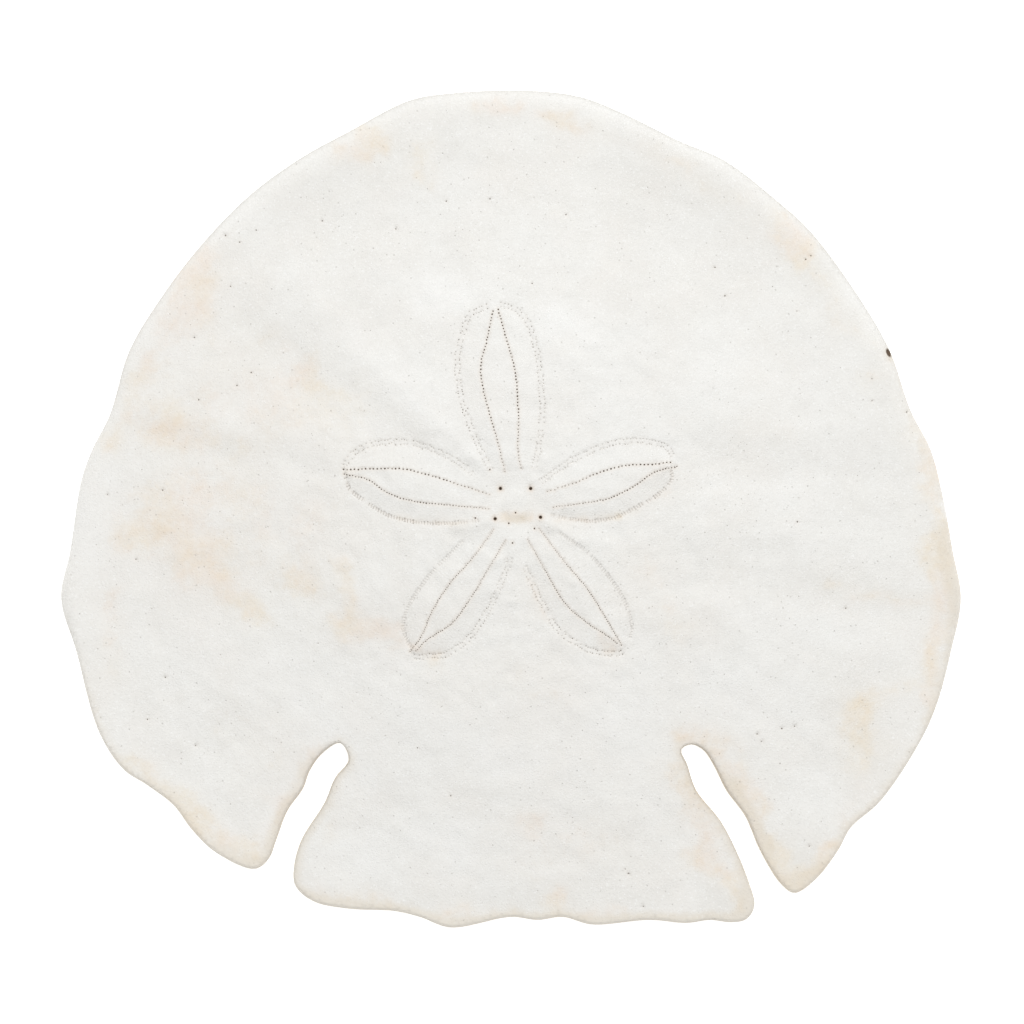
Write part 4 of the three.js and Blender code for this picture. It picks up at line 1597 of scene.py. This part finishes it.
@dataclass
class SandDollarTest:
    """The whole test as one closed mesh: upper surface, rim and underside."""

    seed: int = 7
    rosette_step: float = 0.43
    top_step: float = 0.62
    pit_margin: float = 0.09
    # How dark the mouth and vent are painted, as the shade inside them.
    hole_shade: float = 0.9
    under_stain: float = 0.5
    top_insets: tuple[float, ...] = (0.12, 0.3, 0.6, 1.0, 1.5, 2.1, 2.8)
    rosette: Rosette = field(default_factory=Rosette)
    apex: ApicalDisc = field(default_factory=ApicalDisc)
    wear: WornPits = field(default_factory=WornPits)
    stains: Stains = field(default_factory=Stains)

    def __post_init__(self) -> None:
        """Lays out the outline, the surfaces and the pits."""
        self.draw = np.random.default_rng(self.seed)
        self.outline = Outline()
        self.dome = Dome()
        self.under = Underside(self.outline)
        pores = self.rosette.pits(self.draw) + self.apex.pits()
        self.pits = pores + self.wear.pits(self.outline, pores, self.draw)
        log.info("%d pores and %d worn pits", len(pores), len(self.pits) - len(pores))

    def top_points(self) -> Points:
        """Points of the upper surface between the rim and the pits.

        Returns:
            The points, without those that a pit takes the place of.
        """
        fine = lattice(self.rosette_step, REACH, self.draw)
        fine = fine[self.rosette.near(fine)]
        coarse = lattice(self.top_step, REACH, self.draw)
        coarse = coarse[~self.rosette.near(coarse)]
        coarse = coarse[is_inside(self.outline.edge, coarse)]
        coarse = coarse[self.outline.distance(coarse) > self.top_insets[-1] + 0.4 * self.top_step]
        spread = np.vstack([self.outline.rings(self.top_insets), fine, coarse])
        search = Nearest(spread)
        free = np.ones(len(spread), bool)
        for pit in self.pits:
            margin = self.pit_margin + (pit.collar if pit.shape is PitShape.PRICK else 0.0)
            near = np.array(search.within(pit.x, pit.y, pit.half_length + margin), int)
            if len(near):
                free[near[pit.covers(spread[near], margin)]] = False
        return spread[free]

    def triangles(self, points: Points) -> tuple[Points, np.ndarray, np.ndarray]:
        """Joins points into triangles that fill the outline.

        Args:
            points: the outline's points first, then those inside it.

        Returns:
            The points as kept by the triangulation, three point numbers a triangle, and how far the
            points are from the outline.
        """
        count = len(self.outline.edge)
        rim = [(i, (i + 1) % count) for i in range(count)]
        made = delaunay_2d_cdt([Vector(p) for p in points], rim, [], 1, 1e-5)
        flat, faces = np.array([tuple(v) for v in made[0]]), np.array([tuple(f) for f in made[2]], int)
        edge = self.outline.distance(flat)
        edge[:count] = 0.0
        return flat, faces, edge

    def top(self) -> tuple[Points, np.ndarray, dict[str, np.ndarray]]:
        """The upper surface.

        Returns:
            Its points in space, its triangles, and the marks on its points.
        """
        parts = [(pit, *pit.points()) for pit in self.pits]
        plain = np.vstack([self.outline.edge, self.top_points()])
        flat = np.vstack([plain] + [places for _, places, _ in parts])
        clear = [np.zeros(len(plain))]
        deep = np.concatenate(clear + [pit.depth * shares for pit, _, shares in parts])
        # Painted shade: how dark each pit point is painted.
        floor_shade = np.concatenate(clear + [pit.floor_shade * np.minimum(1.3 * shares, 1.0) for pit, _, shares in parts])
        points, faces, edge = self.triangles(flat)
        if len(points) != len(flat):
            raise ValueError(f"the upper surface merged {len(flat) - len(points)} of its points")
        height = self.dome.height(points, edge)
        marks = blank(("band", "pore_count", "halo", "furrow"), len(points))
        near = self.rosette.near(points)
        relief = self.rosette.relief(points[near])
        height[near] += relief["height"] + self.apex.height(points[near])
        for name in ("band", "pore_count"):
            marks[name][near] = relief[name]
        height -= deep
        # The pits' floors are painted dark as the shade inside the hollows.
        marks["pore"] = floor_shade
        marks["halo"] = self.stains.halo(points, self.pits)
        marks["stain"] = self.stains.tint(points)
        marks["bleach_and_highlight"] = self.stains.bleach_and_highlight(points, edge)
        marks["dull_and_shade"] = self.stains.dullness_and_shade(points, edge)
        marks["edge"] = self.stains.edge_stain_and_shade(points, edge)
        return np.column_stack([points, height]), faces, marks

    def bottom(self) -> tuple[Points, np.ndarray, dict[str, np.ndarray]]:
        """The lower surface.

        Returns:
            Its points in space, its triangles facing down, and the marks on its points.
        """
        flat = np.vstack([self.outline.edge, self.under.points(self.draw)])
        points, faces, edge = self.triangles(flat)
        shape = self.under.shape(points, edge)
        marks = blank(("band", "pore_count", "halo", "bleach_and_highlight", "dull_and_shade"), len(points))
        # Painted shade inside the mouth and vent.
        marks["pore"] = self.hole_shade * shape["hole"]
        marks["furrow"] = shape["furrow"]
        marks["stain"] = self.under_stain * self.stains.tint(points)
        marks["edge"] = self.stains.edge_stain_and_shade(points, edge)
        return np.column_stack([points, shape["height"]]), faces[:, ::-1], marks

    def build(self) -> bpy.types.Object:
        """Makes the closed mesh.

        Returns:
            The object, at the frame's origin.
        """
        upper, upper_faces, upper_marks = self.top()
        lower, lower_faces, lower_marks = self.bottom()
        shared = len(self.outline.edge)
        renumber = np.concatenate([np.arange(shared), np.arange(len(lower) - shared) + len(upper)])
        points = np.vstack([upper, lower[shared:]]) * MM
        faces = np.vstack([upper_faces, renumber[lower_faces]])
        mesh = bpy.data.meshes.new("bleached_test")
        mesh.from_pydata(points.tolist(), [], faces.tolist())
        for name, values in upper_marks.items():
            both = np.concatenate([values, lower_marks[name][shared:]])
            mesh.attributes.new(name, "FLOAT", "POINT").data.foreach_set("value", both.astype(np.float32))
        mesh.polygons.foreach_set("use_smooth", np.ones(len(faces), bool))
        mesh.update()
        log.info("bleached_test: %d points, %d triangles", len(points), len(faces))
        return placed("bleached_test", mesh)

    def dress(self, piece: bpy.types.Object) -> None:
        """Gives the mesh its finish and says which solid it stands for.

        Args:
            piece: the object that holds the mesh.
        """
        piece.data.materials.append(BleachedCalcite().material())
        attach(piece, BODY)
        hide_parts(NODE)


# ---------------------------------------------------------------- the studio


@dataclass
class Studio:
    """A pale tabletop under soft white light, and a camera looking straight down.

    The key light's place and size are in metres.
    """

    view_width: float = 136.53
    view_centre: Point = (0.13, -0.4)
    rim_height: float = 1.3
    lens: float = 250.0
    sensor: float = 36.0
    floor_half: float = 1500.0
    floor_gap: float = 0.05
    key_place: tuple[float, float, float] = (0.23, 1.14, 2.7)
    key_size: float = 1.3
    key_watts: float = 54.0
    sky: float = 0.57

    def floor(self) -> None:
        """The tabletop, level with the flat underside."""
        h = self.floor_half * MM
        mesh = bpy.data.meshes.new("tabletop")
        mesh.from_pydata([(-h, -h, 0), (h, -h, 0), (h, h, 0), (-h, h, 0)], [], [(0, 1, 2, 3)])
        mesh.materials.append(PaleFloor().material())
        top = placed("tabletop", mesh)
        top.location.z = -self.floor_gap * MM

    def lamp(self, name: str, place: tuple[float, float, float], size: float, watts: float) -> None:
        """A square soft light that faces the test.

        Args:
            name: the light's name.
            place: where it stands, in metres.
            size: its side, in metres.
            watts: its power.
        """
        data = bpy.data.lights.new(name, "AREA")
        data.shape = "SQUARE"
        data.size = size
        data.energy = watts
        lamp = placed(name, data)
        lamp.location = place
        lamp.rotation_mode = "QUATERNION"
        lamp.rotation_quaternion = (-Vector(place)).to_track_quat("-Z", "Y")

    def lights(self) -> None:
        """The soft key light, high in front of the test, and the pale surroundings."""
        self.lamp("front_softbox", self.key_place, self.key_size, self.key_watts)
        world = bpy.data.worlds.new("pale_room")
        world.use_nodes = True
        background = world.node_tree.nodes["Background"]
        background.inputs["Color"].default_value = colour(1.0, 1.0, 1.0)
        background.inputs["Strength"].default_value = self.sky
        bpy.context.scene.world = world

    def camera(self) -> None:
        """The camera, straight above with the front edge at the top of its view."""
        data = bpy.data.cameras.new("overhead_camera")
        data.lens = self.lens
        data.sensor_width = self.sensor
        away = self.view_width * self.lens / self.sensor + self.rim_height
        data.clip_start, data.clip_end = 0.01, 10.0
        camera = placed("overhead_camera", data)
        camera.location = Vector((*self.view_centre, away)) * MM
        bpy.context.scene.camera = camera

    def build(self) -> None:
        """Sets up the whole studio."""
        self.camera()
        self.floor()
        self.lights()
        bpy.context.scene.view_settings.view_transform = "Standard"


def main() -> None:
    """Builds the studio and the test, and reports each piece."""
    logging.basicConfig(level=logging.INFO, format="%(message)s")
    Studio().build()
    test = SandDollarTest()
    test.dress(test.build())


if __name__ == "__main__":
    main()
